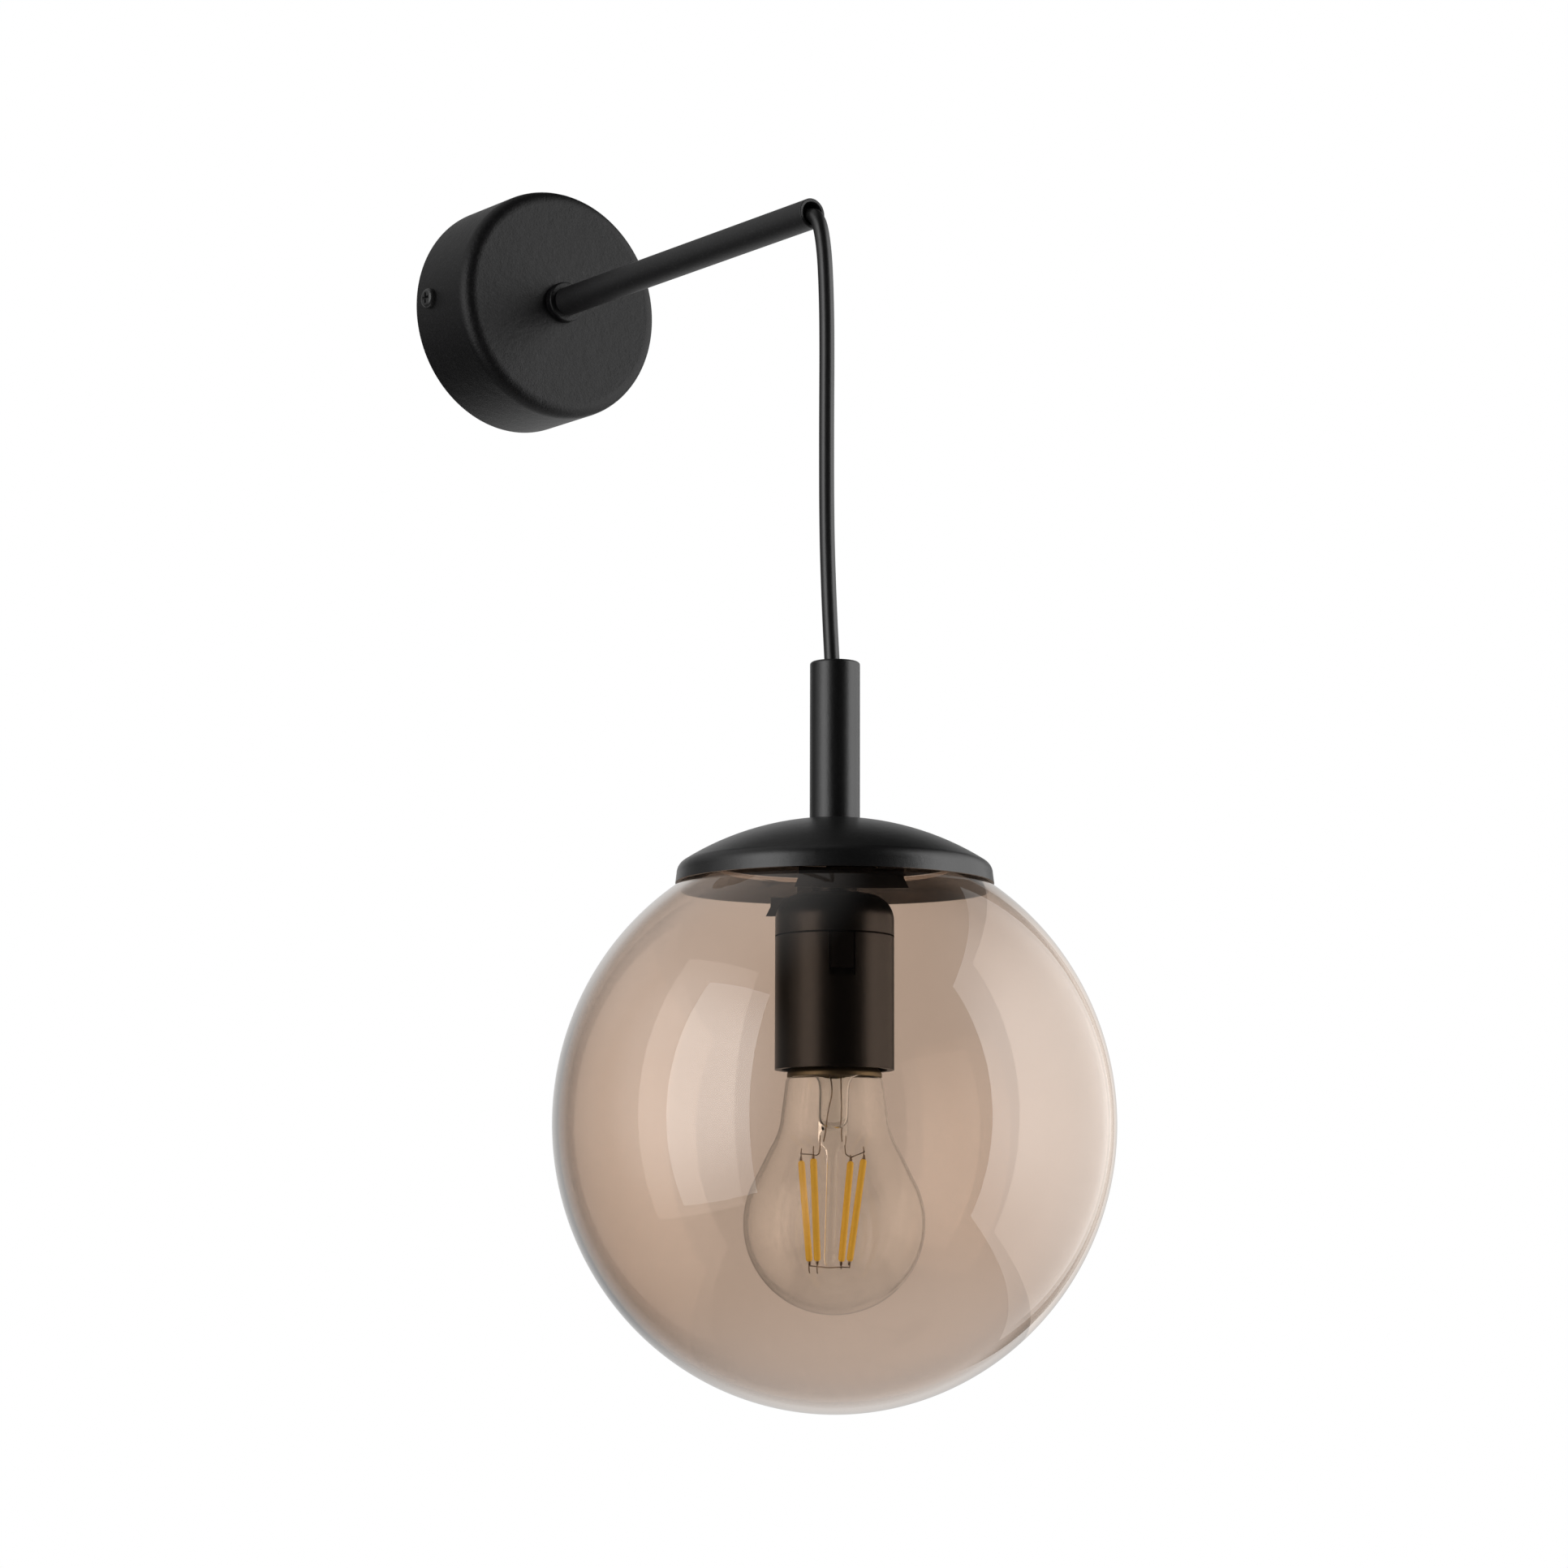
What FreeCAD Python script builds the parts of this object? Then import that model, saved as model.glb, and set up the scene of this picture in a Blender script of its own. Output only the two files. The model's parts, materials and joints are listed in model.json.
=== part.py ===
import FreeCAD, Part
import math
import os
import re
import Sketcher
from FreeCAD import Rotation, Vector

# A wall lamp: a round canopy on the wall, a straight arm, and a pendant that hangs from the arm's
# open end on its own round cable. The pendant is a stem tube, a shallow dome cap, a glass globe,
# a lampholder and a filament bulb.
# Millimetres. The origin is the middle of the canopy's open back, on the wall's face. +Y goes into
# the wall, so the lamp stands out along -Y. +X is to the right and +Z is up.

doc = FreeCAD.newDocument("GlobeWallSconce")

# Driving sizes
sizes = {
    # canopy and its bracket
    "canopyRadius": 43,
    "canopyDepth": 34,
    "canopyWall": 1,
    "canopyEdge": 5,
    "bracketSheet": 1.5,
    "bracketWidth": 16,
    "bracketBend": 1,
    "earReach": 17,
    "slotSpacing": 60,
    "slotWidth": 4.8,
    "slotLength": 9,
    "sideScrewPlace": 9.6,
    "sideScrewRadius": 2,
    "sideScrewLength": 7,
    "sideScrewHead": 3.75,
    "sideScrewHeadHeight": 2.2,
    "sideScrewRound": 1.32,
    "crossWidth": 4.3,
    "crossDepth": 1.65,
    # arm
    "armRadius": 5.3,
    "threadRadius": 5,
    "armBore": 4.1,
    "armReach": 188,
    "armTail": 20,
    "armLip": 0.3,
    "collarRadius": 7.5,
    "collarLength": 3,
    "collarEdge": 0.7,
    "washerRadius": 8.5,
    "washerSheet": 1,
    "nutFlats": 14,
    "nutHeight": 3,
    # cable and its fixings
    "cordRadius": 2.6,
    "coreRadius": 0.95,
    "coreOffset": 1.15,
    "stopRadius": 6,
    "stopLength": 6,
    "stopScrewRadius": 1.5,
    "smallSlotWidth": 0.5,
    "stopSlotDepth": 0.8,
    "sheathStub": 1,
    "blockPlace": 18.5,
    "blockWidth": 10,
    "blockHeight": 8,
    "blockLength": 18,
    "poleSpacing": 6,
    "clampRadius": 1.6,
    "clampBore": 1.15,
    "clampHeight": 3.6,
    "clampInset": 0.5,
    "terminalScrewRadius": 1.2,
    "terminalScrewSpacing": 4.8,
    "terminalScrewSink": 0.6,
    "terminalSlotDepth": 0.7,
    "fixingHead": 1.92,
    "fixingHeadHeight": 1.4,
    "earthPlace": 17,
    "earthScrewRadius": 2,
    "earthScrewHead": 3.6,
    "earthScrewHeadHeight": 2.2,
    "earthSlotWidth": 0.8,
    "earthSlotDepth": 1.2,
    "lugSheet": 0.8,
    "lugMargin": 0.6,
    "lugBarrelWall": 0.5,
    "lugBarrelLength": 4,
    "lugBarrelGap": 0.2,
    # pendant
    "pendantOffset": 13,
    "pendantDrop": 187.6,
    "pendantTurn": 30,
    "stemLength": 53.4,
    "stemRadius": 8.4,
    "stemWall": 1.5,
    "stemMouth": 5,
    "stemEdge": 1,
    "stemFloor": 7,
    "gripLength": 16.4,
    "gripChamfer": 2,
    "sheathEntry": 8,
    "nippleBore": 3.5,
    "nippleEntry": 4,
    "capRadius": 53.1,
    "capHeight": 21.4,
    "capFlat": 9.5,
    "capDomeRadius": 94,
    "capShoulder": 2.2,
    "capFlare": 0.4,
    "capSheet": 1.2,
    "globeRadius": 93.2,
    "globeHalfHeight": 95.4,
    "globeWall": 2,
    "globeHole": 38,
    "holderSheet": 0.8,
    "holderWidth": 16,
    "holderFlat": 9,
    "holderSlopeReach": 6.5,
    "holderSlopeRise": 9,
    "holderNeckRise": 3,
    "holderKickReach": 3,
    "holderKickDrop": 5.4,
    "holderFootLean": 1.8,
    "holderFoot": 34,
    "holderFootFlare": 1.5,
    "holderFootHeight": 6.5,
    # lampholder
    "lampholderDrop": 25.1,
    "lampholderRadius": 19.8,
    "lampholderWall": 2.2,
    "domeHeight": 14,
    "domeEdge": 8.5,
    "domeNeck": 7.5,
    "domeNeckHeight": 6,
    "domeRoof": 2.5,
    "skirtLength": 44.3,
    "latchWidth": 8,
    "latchLength": 12,
    "windowLength": 14.4,
    "latchGap": 0.3,
    "latchSink": 0.4,
    "latchRoot": 3,
    "coreInset": 1.5,
    "coreDepth": 14,
    "coreScrewPlace": 9,
    "coreScrewDepth": 6,
    "coreScrewHead": 2.28,
    "coreScrewHeadHeight": 1.6,
    "collarRoom": 5.3,
    "shellWall": 0.35,
    "shellTopGap": 2,
    "shellFootGap": 1,
    "contactWidth": 5,
    "contactSheet": 0.4,
    "contactDrop": 4.5,
    "contactRoot": 8,
    "contactRootLength": 1,
    "contactFold": 5.5,
    "contactFoldLength": 1.9,
    "contactTip": 4,
    # bulb
    "bulbRadius": 30,
    "bulbLength": 104.8,
    "bulbWall": 0.8,
    "bulbCapRadius": 13.1,
    "bulbCapSheet": 0.3,
    "bulbCapLength": 26.8,
    "bulbCapEdge": 0.8,
    "bulbCapEdgeStart": 4.3,
    "bulbCapEdgeFoot": 5.4,
    "bulbThreadStart": 6.6,
    "bulbSkirtFlare": 2.6,
    "bulbSkirtHeight": 5,
    "bulbSkirtBand": 1,
    "bulbContactHeight": 1.6,
    "bulbContactFlat": 3.2,
    "bulbContactRadius": 4.8,
    "bulbContactEdge": 0.9,
    "insulatorInset": 3.2,
    "insulatorTopRadius": 5.4,
    "insulatorShoulder": 4,
    "insulatorFoot": 6,
    "waistDrop": 12.6,
    "waistFlare": 1.5,
    "blendDrop": 22.9,
    "blendFlare": 4.9,
    "blendRadius": 22,
    "ballAngle": 28,
    "neckStepDrop": 0.9,
    "neckTuck": 6,
    "neckTuckInset": 1.2,
    "neckFlareTuck": 4.6,
    "neckFlareInset": 0.6,
    "bulbStemRadius": 4.9,
    "bulbStemWall": 1,
    "bulbStemLength": 14.5,
    "bulbStemStart": 1,
    "stemFlareInset": 1.4,
    "stemFlareHeight": 5,
    "pinchDrop": 14.5,
    "pinchHeight": 6,
    "pinchSheet": 3,
    "pinchInset": 0.3,
    "rodRadius": 1.85,
    "filamentRadius": 0.95,
    "filamentLength": 33.2,
    "filamentTop": 54,
    "filamentTopSpread": 12,
    "filamentFootSpread": 7.7,
    "filamentTurn": 21.7,
    "filamentWireRadius": 0.25,
    "wirePinInset": 1.2,
    "wirePinDrop": 3,
    "wireTopRise": 1.6,
    "wireFootDrop": 1.4,
    "wireCentreDrop": 2.2,
    "leadSpreadTop": 2.4,
    "leadSpreadFoot": 1.8,
    "boardPlace": 9.4,
    "boardSheet": 1.2,
    "chipLength": 8,
    "chipWidth": 6,
    "chipHeight": 2,
    "capacitorRadius": 2.5,
    "capacitorHeight": 5,
    "capacitorPlace": 5.5,
    # clearances
    "threadPlay": 0.02,
    "holePlay": 0.2,
    "fitGap": 0.25,
    "turnGap": 0.1,
    "rimGap": 0.15,
    "gripGap": 0.4,
}

# Sizes and places that follow from those
derived = {
    "pendantReach": "armReach + pendantOffset",
    "canopyInside": "canopyDepth - canopyWall",
    "earFace": "sqrt((canopyRadius - canopyWall)^2 - (bracketWidth / 2)^2) - fitGap",
    "nippleRadius": "threadRadius - threadPlay",
    "clampDepth": "bracketSheet + clampHeight",
    "wellDepth": "blockHeight - clampHeight",
    "lugBarrelRadius": "coreRadius + lugBarrelWall",
    "lugBarrelReach": "earthScrewHead + lugBarrelGap",
    "gripRadius": "stemRadius - stemWall - threadPlay",
    "stemTop": "pendantDrop + gripGap + gripLength + stemFloor - stemLength",
    "stemFoot": "stemTop + stemLength",
    "capRim": "stemFoot + capHeight",
    "capCentre": "stemFoot + sqrt(capDomeRadius^2 - capFlat^2)",
    "shoulderRadius": "capRadius - capFlare - capShoulder",
    "shoulderBend": "capShoulder / (1 - shoulderRadius / capDomeRadius)",
    "globeDrop": "capRim + rimGap + globeHalfHeight * sqrt(1 - ((capRadius - capSheet) / globeRadius)^2)",
    "lampholderTop": "stemFoot + lampholderDrop",
    "lampholderJoint": "lampholderTop + domeHeight",
    "lampholderFoot": "lampholderJoint + skirtLength",
    "innerRadius": "lampholderRadius - lampholderWall",
    "coreTop": "lampholderJoint + coreInset",
    "coreFoot": "coreTop + coreDepth",
    "bulbTop": "coreFoot + contactDrop",
    "bulbFoot": "bulbTop + bulbLength",
    "bulbCentre": "bulbFoot - bulbRadius",
    "collarFoot": "bulbTop + bulbCapLength",
    "sleeveFoot": "collarFoot - collarRoom",
    "shellRadius": "bulbCapRadius + fitGap",
    "bulbSkirtRadius": "bulbCapRadius + bulbSkirtFlare",
    "bulbNeckRadius": "bulbSkirtRadius + 0.2",
    "insulatorRadius": "bulbCapRadius - insulatorInset",
    "pinchTop": "collarFoot + pinchDrop",
    "pinchFoot": "pinchTop + pinchHeight",
    "boardFoot": "collarFoot - boardPlace",
    "filamentHigh": "bulbTop + filamentTop",
    "filamentLow": "filamentHigh + filamentLength",
}

dims = doc.addObject("Spreadsheet::Sheet", "dims")
cells = {**sizes, **{alias: "=" + formula for alias, formula in derived.items()}}
for row, (alias, value) in enumerate(cells.items(), start=1):
    dims.set("A%d" % row, alias)
    dims.set("B%d" % row, str(value))
    dims.setAlias("B%d" % row, alias)
doc.recompute()


def bind(text):
    """An expression that names sizes, with each name led back to the sheet."""
    return re.sub(r"[A-Za-z]\w*", lambda word: "dims." + word.group()
                  if word.group() in cells else word.group(), text)


def size(text):
    """The present value of an expression that names sizes."""
    return float(dims.evalExpression(bind(text)))


turnFromZ = {"X": Rotation(Vector(0, 1, 0), 90), "Y": Rotation(Vector(1, 0, 0), -90), "Z": Rotation()}


# Drawing helpers
def bindAll(thing, **properties):
    for name, text in properties.items():
        thing.setExpression(name.replace("_", "."), bind(text))
    return thing


def place(thing, x="0", y="0", z="0"):
    return bindAll(thing, Placement_Base_x=x, Placement_Base_y=y, Placement_Base_z=z)


def onPendant(thing):
    """Puts a thing that was drawn round the Z axis on the pendant's axis."""
    return place(thing, "0", "-pendantReach", "0")


def cylinder(name, radius, length, axis="Z", x="0", y="0", z="0"):
    thing = doc.addObject("Part::Cylinder", name)
    thing.Placement = FreeCAD.Placement(Vector(), turnFromZ[axis])
    return place(bindAll(thing, Radius=radius, Height=length), x, y, z)


def box(name, length, width, height, x="0", y="0", z="0"):
    """A box whose middle is at x and y, and whose lowest face is at z."""
    thing = doc.addObject("Part::Box", name)
    bindAll(thing, Length=length, Width=width, Height=height)
    return place(thing, "%s - (%s) / 2" % (x, length), "%s - (%s) / 2" % (y, width), z)


def hexagon(name, flats, height, axis="Z", x="0", y="0", z="0"):
    thing = doc.addObject("Part::Prism", name)
    thing.Polygon = 6
    thing.Placement = FreeCAD.Placement(Vector(), turnFromZ[axis])
    return place(bindAll(thing, Circumradius="(%s) / sqrt(3)" % flats, Height=height), x, y, z)


def cut(name, base, tool):
    thing = doc.addObject("Part::Cut", name)
    thing.Base = base
    thing.Tool = tool
    return thing


def join(name, *things):
    thing = doc.addObject("Part::MultiFuse", name)
    thing.Shapes = list(things)
    return thing


def group(name, *things):
    thing = doc.addObject("Part::Compound", name)
    thing.Links = list(things)
    return thing


def mirrored(name, source, normal):
    thing = doc.addObject("Part::Mirroring", name)
    thing.Source = source
    thing.Normal = normal
    return thing


def newBody(name):
    return doc.addObject("PartDesign::Body", name)


def originPlane(body, role):
    return [item for item in body.Origin.OriginFeatures if item.Role == role][0]


def arcBetween(a, b, radius, side):
    """An arc from a to b that bulges to the given side of the way, and whether it runs backwards."""
    along = (b - a).normalize()
    left = Vector(-along.y, along.x, 0)
    half = (b - a).Length / 2
    sign = -1 if side == "left" else 1
    centre = (a + b) / 2 + left * (sign * math.sqrt(max(radius * radius - half * half, 0)))
    circle = Part.Circle(centre, Vector(0, 0, 1), radius)
    start, end = (b, a) if side == "left" else (a, b)
    first = math.atan2(start.y - centre.y, start.x - centre.x)
    last = math.atan2(end.y - centre.y, end.x - centre.x)
    if last < first:
        last += 2 * math.pi
    return Part.ArcOfCircle(circle, first, last), side == "left"


def outline(body, role, corners, name="outline"):
    """A closed sketch. A corner is (x, y), or (x, y, radius, side) where an arc follows it."""
    sketch = body.newObject("Sketcher::SketchObject", body.Name + "_" + name)
    sketch.AttachmentSupport = [(originPlane(body, role), "")]
    sketch.MapMode = "FlatFace"
    points = [Vector(size(corner[0]), size(corner[1]), 0) for corner in corners]
    ends = []
    for index, corner in enumerate(corners):
        here, there = points[index], points[(index + 1) % len(points)]
        backwards = False
        if len(corner) > 2:
            edge, backwards = arcBetween(here, there, size(corner[2]), corner[3])
        else:
            edge = Part.LineSegment(here, there)
        sketch.addGeometry(edge)
        ends.append((2, 1) if backwards else (1, 2))
    for index in range(len(corners)):
        after = (index + 1) % len(corners)
        sketch.addConstraint(Sketcher.Constraint("Coincident", index, ends[index][1], after, ends[after][0]))
    for index, corner in enumerate(corners):
        for kind, text, value in (("DistanceX", corner[0], points[index].x),
                                  ("DistanceY", corner[1], points[index].y)):
            number = sketch.addConstraint(Sketcher.Constraint(kind, -1, 1, index, ends[index][0], value))
            sketch.setExpression("Constraints[%d]" % number, bind(text))
        if len(corner) > 2:
            number = sketch.addConstraint(Sketcher.Constraint("Radius", index, size(corner[2])))
            sketch.setExpression("Constraints[%d]" % number, bind(corner[2]))
    return sketch


def turned(name, corners, role="XZ_Plane"):
    """A body turned on the sketch's upright axis: Z on the XZ plane, Y on the XY plane."""
    body = newBody(name)
    feature = body.newObject("PartDesign::Revolution", name + "_turned")
    sketch = outline(body, role, corners)
    feature.Profile = sketch
    feature.ReferenceAxis = (sketch, ["V_Axis"])
    feature.Angle = 360
    body.Tip = feature
    return body


def circles(body, role, spots, name):
    """A sketch of whole circles, each (x, y, radius)."""
    sketch = body.newObject("Sketcher::SketchObject", body.Name + "_" + name)
    sketch.AttachmentSupport = [(originPlane(body, role), "")]
    sketch.MapMode = "FlatFace"
    for index, (x, y, radius) in enumerate(spots):
        sketch.addGeometry(Part.Circle(Vector(size(x), size(y), 0), Vector(0, 0, 1), size(radius)))
        for kind, text in (("DistanceX", x), ("DistanceY", y)):
            number = sketch.addConstraint(Sketcher.Constraint(kind, -1, 1, index, 3, size(text)))
            sketch.setExpression("Constraints[%d]" % number, bind(text))
        number = sketch.addConstraint(Sketcher.Constraint("Radius", index, size(radius)))
        sketch.setExpression("Constraints[%d]" % number, bind(radius))
    return sketch


def slot(body, role, x, width, length, name):
    """A sketch of one slot that runs along the sketch's X axis, with round ends."""
    sketch = body.newObject("Sketcher::SketchObject", body.Name + "_" + name)
    sketch.AttachmentSupport = [(originPlane(body, role), "")]
    sketch.MapMode = "FlatFace"
    radius = size(width) / 2
    left, right = (size("%s %s (%s - %s) / 2" % (x, sign, length, width)) for sign in "-+")
    sketch.addGeometry(Part.LineSegment(Vector(left, -radius, 0), Vector(right, -radius, 0)))
    sketch.addGeometry(Part.ArcOfCircle(Part.Circle(Vector(right, 0, 0), Vector(0, 0, 1), radius),
                                        -math.pi / 2, math.pi / 2))
    sketch.addGeometry(Part.LineSegment(Vector(right, radius, 0), Vector(left, radius, 0)))
    sketch.addGeometry(Part.ArcOfCircle(Part.Circle(Vector(left, 0, 0), Vector(0, 0, 1), radius),
                                        math.pi / 2, 3 * math.pi / 2))
    for first, second in (((0, 2), (1, 1)), ((1, 2), (2, 1)), ((2, 2), (3, 1)), ((3, 2), (0, 1))):
        sketch.addConstraint(Sketcher.Constraint("Coincident", *first, *second))
    for edge, sign in ((1, "+"), (3, "-")):
        middle = "%s %s (%s - %s) / 2" % (x, sign, length, width)
        for point in (1, 2, 3):
            number = sketch.addConstraint(Sketcher.Constraint("DistanceX", -1, 1, edge, point, size(middle)))
            sketch.setExpression("Constraints[%d]" % number, bind(middle))
        sketch.addConstraint(Sketcher.Constraint("DistanceY", -1, 1, edge, 3, 0))
        number = sketch.addConstraint(Sketcher.Constraint("Radius", edge, radius))
        sketch.setExpression("Constraints[%d]" % number, bind(width) + " / 2")
    return sketch


def pocket(body, sketch, depth=None):
    """Cuts a sketch through the whole body both ways, or to a depth, and makes sure that it cut."""
    doc.recompute()
    before = body.Shape.Volume
    feature = body.newObject("PartDesign::Pocket", sketch.Name + "_cut")
    feature.Profile = sketch
    if depth:
        bindAll(feature, Length=depth)
    else:
        feature.Type = 1
        feature.Midplane = True
    body.Tip = feature
    doc.recompute()
    if not body.Shape.Volume < before - 1e-6:
        raise RuntimeError(sketch.Name + " cut nothing")
    return feature


def hollowed(body, wall, isOpen):
    """Turns a solid body into a shell of the given wall, open at the face that isOpen picks."""
    solid = body.Tip
    doc.recompute()
    before = body.Shape.BoundBox
    faces = ["Face%d" % number for number, face in enumerate(solid.Shape.Faces, start=1) if isOpen(face)]
    feature = body.newObject("PartDesign::Thickness", body.Name + "_wall")
    feature.Base = (solid, faces)
    feature.Reversed = True
    feature.Join = 1
    bindAll(feature, Value=wall)
    body.Tip = feature
    doc.recompute()
    if body.Shape.BoundBox.XLength > before.XLength + 1e-3:
        raise RuntimeError(body.Name + " grew outwards")
    return feature


def roundedPath(points):
    """Straight runs joined by tangent arcs, and the arcs' radii."""
    edges = []
    used = []
    start = points[0]
    for index in range(1, len(points) - 1):
        corner = points[index]
        back = (points[index - 1] - corner)
        onward = (points[index + 1] - corner)
        shorter = min(back.Length, onward.Length)
        turn = math.pi - back.getAngle(onward)
        radius = 0.45 * shorter / math.tan(turn / 2)
        reach = radius * math.tan(turn / 2)
        back.normalize()
        onward.normalize()
        first = corner + back * reach
        last = corner + onward * reach
        bisector = (back + onward).normalize()
        middle = corner + bisector * (radius / math.cos(turn / 2) - radius)
        edges.append(Part.LineSegment(start, first).toShape())
        edges.append(Part.Arc(first, middle, last).toShape())
        used.append(radius)
        start = last
    edges.append(Part.LineSegment(start, points[-1]).toShape())
    return Part.Wire(edges), used


def tube(name, points, radius):
    """A round cable or wire along straight runs and arcs."""
    path, radii = roundedPath(points)
    section = Part.Wire([Part.Circle(points[0], points[1] - points[0], radius).toShape()])
    solid = path.makePipeShell([section], True, True)
    expected = math.pi * radius * radius * path.Length
    if abs(solid.Volume - expected) > 0.01 * expected:
        raise RuntimeError(name + " has the wrong volume")
    thing = doc.addObject("Part::Feature", name)
    thing.Shape = solid
    print("%s: length %.1f, arc radii %s" % (name, path.Length, ", ".join("%.1f" % r for r in radii)))
    return thing


def along(start, end, radius):
    """A round rod from one point to another."""
    return Part.makeCylinder(radius, (end - start).Length, start, end - start)


# Free cable, given as distances out from the arm's tip and heights, in the plane of the arm
route = [
    (-12.0, 0.0),
    (-0.3, 0.0),
    (3.6, -3.3),
    (5.75, -9.9),
    (7.35, -20.5),
    (8.35, -42.0),
    (8.1, -78.0),
    (8.3, -112.0),
    (9.7, -138.0),
    (11.6, -160.5),
    (size("pendantOffset"), 11.6 - size("pendantDrop")),
    (size("pendantOffset"), -size("pendantDrop")),
]
hingeIndex = 4


def routePoint(pair):
    return Vector(0, -size("armReach") - pair[0], pair[1])


# Wall side
def wallBracket():
    body = newBody("wall_bracket")
    strap = body.newObject("PartDesign::Pad", "wall_bracket_strap")
    outer = "bracketBend + bracketSheet"
    sketch = outline(body, "XY_Plane", [
        ("-earFace", "-earReach"),
        ("-earFace + bracketSheet", "-earReach"),
        ("-earFace + bracketSheet", "-bracketSheet - bracketBend", "bracketBend", "left"),
        ("-earFace + %s" % outer, "-bracketSheet"),
        ("earFace - (%s)" % outer, "-bracketSheet", "bracketBend", "left"),
        ("earFace - bracketSheet", "-bracketSheet - bracketBend"),
        ("earFace - bracketSheet", "-earReach"),
        ("earFace", "-earReach"),
        ("earFace", "-(%s)" % outer, outer, "right"),
        ("earFace - (%s)" % outer, "0"),
        ("-earFace + %s" % outer, "0", outer, "right"),
        ("-earFace", "-(%s)" % outer),
    ])
    strap.Profile = sketch
    strap.Midplane = True
    bindAll(strap, Length="bracketWidth")
    body.Tip = strap
    doc.recompute()
    for name, side in (("left_slot", "-"), ("right_slot", "")):
        pocket(body, slot(body, "XZ_Plane", side + "slotSpacing / 2", "slotWidth", "slotLength", name))
    ears = [("-sideScrewPlace", "0", "sideScrewRadius + threadPlay")]
    earth = [("-earthPlace", "0", "earthScrewRadius + threadPlay")]
    fixing = [("blockPlace", "poleSpacing / 2", "terminalScrewRadius + threadPlay")]
    pocket(body, circles(body, "YZ_Plane", ears, "ear_holes"))
    pocket(body, circles(body, "XZ_Plane", earth, "earth_hole"))
    pocket(body, circles(body, "XZ_Plane", fixing, "block_hole"))
    return body


def canopyCup():
    body = turned("canopy_cup", [
        ("0", "0"),
        ("0", "-canopyDepth"),
        ("canopyRadius - canopyEdge", "-canopyDepth", "canopyEdge", "right"),
        ("canopyRadius", "canopyEdge - canopyDepth"),
        ("canopyRadius", "0"),
    ], "XY_Plane")
    hollowed(body, "canopyWall", lambda face: abs(face.CenterOfMass.y) < 1e-6)
    screws = [("-sideScrewPlace", "0", "sideScrewRadius + holePlay")]
    pocket(body, circles(body, "XZ_Plane", [("0", "0", "threadRadius + holePlay")], "arm_hole"))
    pocket(body, circles(body, "YZ_Plane", screws, "side_holes"))
    return body


def crossRecess(name, width, depth, top, y, z):
    """A cross of two tapered blades that points into a screw head along X, from its top face."""
    blades = []
    for index, turn in enumerate((0, 90)):
        blade = Part.makePolygon([Vector(0, -width / 2, 0), Vector(0, width / 2, 0),
                                  Vector(-depth, width / 5, 0), Vector(-depth, -width / 5, 0),
                                  Vector(0, -width / 2, 0)])
        solid = Part.Face(blade).extrude(Vector(0, 0, width / 4))
        solid.translate(Vector(0, 0, -width / 8))
        solid.rotate(Vector(), Vector(1, 0, 0), turn)
        blades.append(solid)
    solid = blades[0].fuse(blades[1])
    solid.translate(Vector(top + depth / 20, y, z))
    thing = doc.addObject("Part::Feature", name)
    thing.Shape = solid
    return thing


def canopyScrews():
    shank = cylinder("side_screw_shank", "sideScrewRadius", "sideScrewLength", "X",
                     "canopyRadius - sideScrewLength", "-sideScrewPlace")
    head = cylinder("side_screw_head", "sideScrewHead", "sideScrewHeadHeight", "X",
                    "canopyRadius", "-sideScrewPlace")
    whole = join("side_screw_blank", shank, head)
    edge = doc.addObject("Part::Fillet", "side_screw_round")
    edge.Base = whole
    doc.recompute()
    rim = size("canopyRadius + sideScrewHeadHeight")
    roundness = size("sideScrewRound")
    edge.Edges = [(number, roundness, roundness) for number, line in enumerate(whole.Shape.Edges, start=1)
                  if line.BoundBox.XMin > rim - 1e-6]
    tool = crossRecess("side_screw_cross", size("crossWidth"), size("crossDepth"), rim,
                       -size("sideScrewPlace"), 0)
    right = cut("side_screw_right", edge, tool)
    return group("canopy_screws", right, mirrored("side_screw_left", right, Vector(1, 0, 0)))


def armTube():
    """The arm, whose shoulder sits on the canopy and whose threaded tail goes through it."""
    return turned("arm_tube", [
        ("armBore", "-armTail"),
        ("armBore", "-armReach + armLip", "armLip", "right"),
        ("armBore + armLip", "-armReach"),
        ("armRadius - armLip", "-armReach", "armLip", "right"),
        ("armRadius", "-armReach + armLip"),
        ("armRadius", "-canopyDepth"),
        ("threadRadius", "-canopyDepth"),
        ("threadRadius", "-armTail"),
    ], "XY_Plane")


def armCollar():
    return turned("arm_collar", [
        ("armRadius + threadPlay", "-canopyDepth"),
        ("armRadius + threadPlay", "-canopyDepth - collarLength"),
        ("collarRadius - collarEdge", "-canopyDepth - collarLength", "collarEdge", "right"),
        ("collarRadius", "-canopyDepth - collarLength + collarEdge"),
        ("collarRadius", "-canopyDepth"),
    ], "XY_Plane")


def ring(name, inner, outer, length, axis="Z", x="0", y="0", z="0"):
    return cut(name, cylinder(name + "_disc", outer, length, axis, x, y, z),
               cylinder(name + "_hole", inner, length, axis, x, y, z))


def hexNut(name, axis, y, z):
    return cut(name, hexagon(name + "_blank", "nutFlats", "nutHeight", axis, "0", y, z),
               cylinder(name + "_thread", "threadRadius + threadPlay", "nutHeight", axis, "0", y, z))


def armWasher():
    return ring("arm_lock_washer", "threadRadius + holePlay", "washerRadius", "washerSheet", "Y",
                "0", "-canopyInside")


def armNut():
    return hexNut("arm_nut", "Y", "-canopyInside + washerSheet", "0")


def cordStop():
    middle = "-armTail + stopLength / 2"
    blank = ring("cord_stop_ring", "cordRadius", "stopRadius", "stopLength", "Y", "0", "-armTail")
    hole = cylinder("cord_stop_thread", "stopScrewRadius + threadPlay", "stopRadius", "Z", "0", middle, "0")
    return cut("cord_stop", blank, hole)


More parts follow.
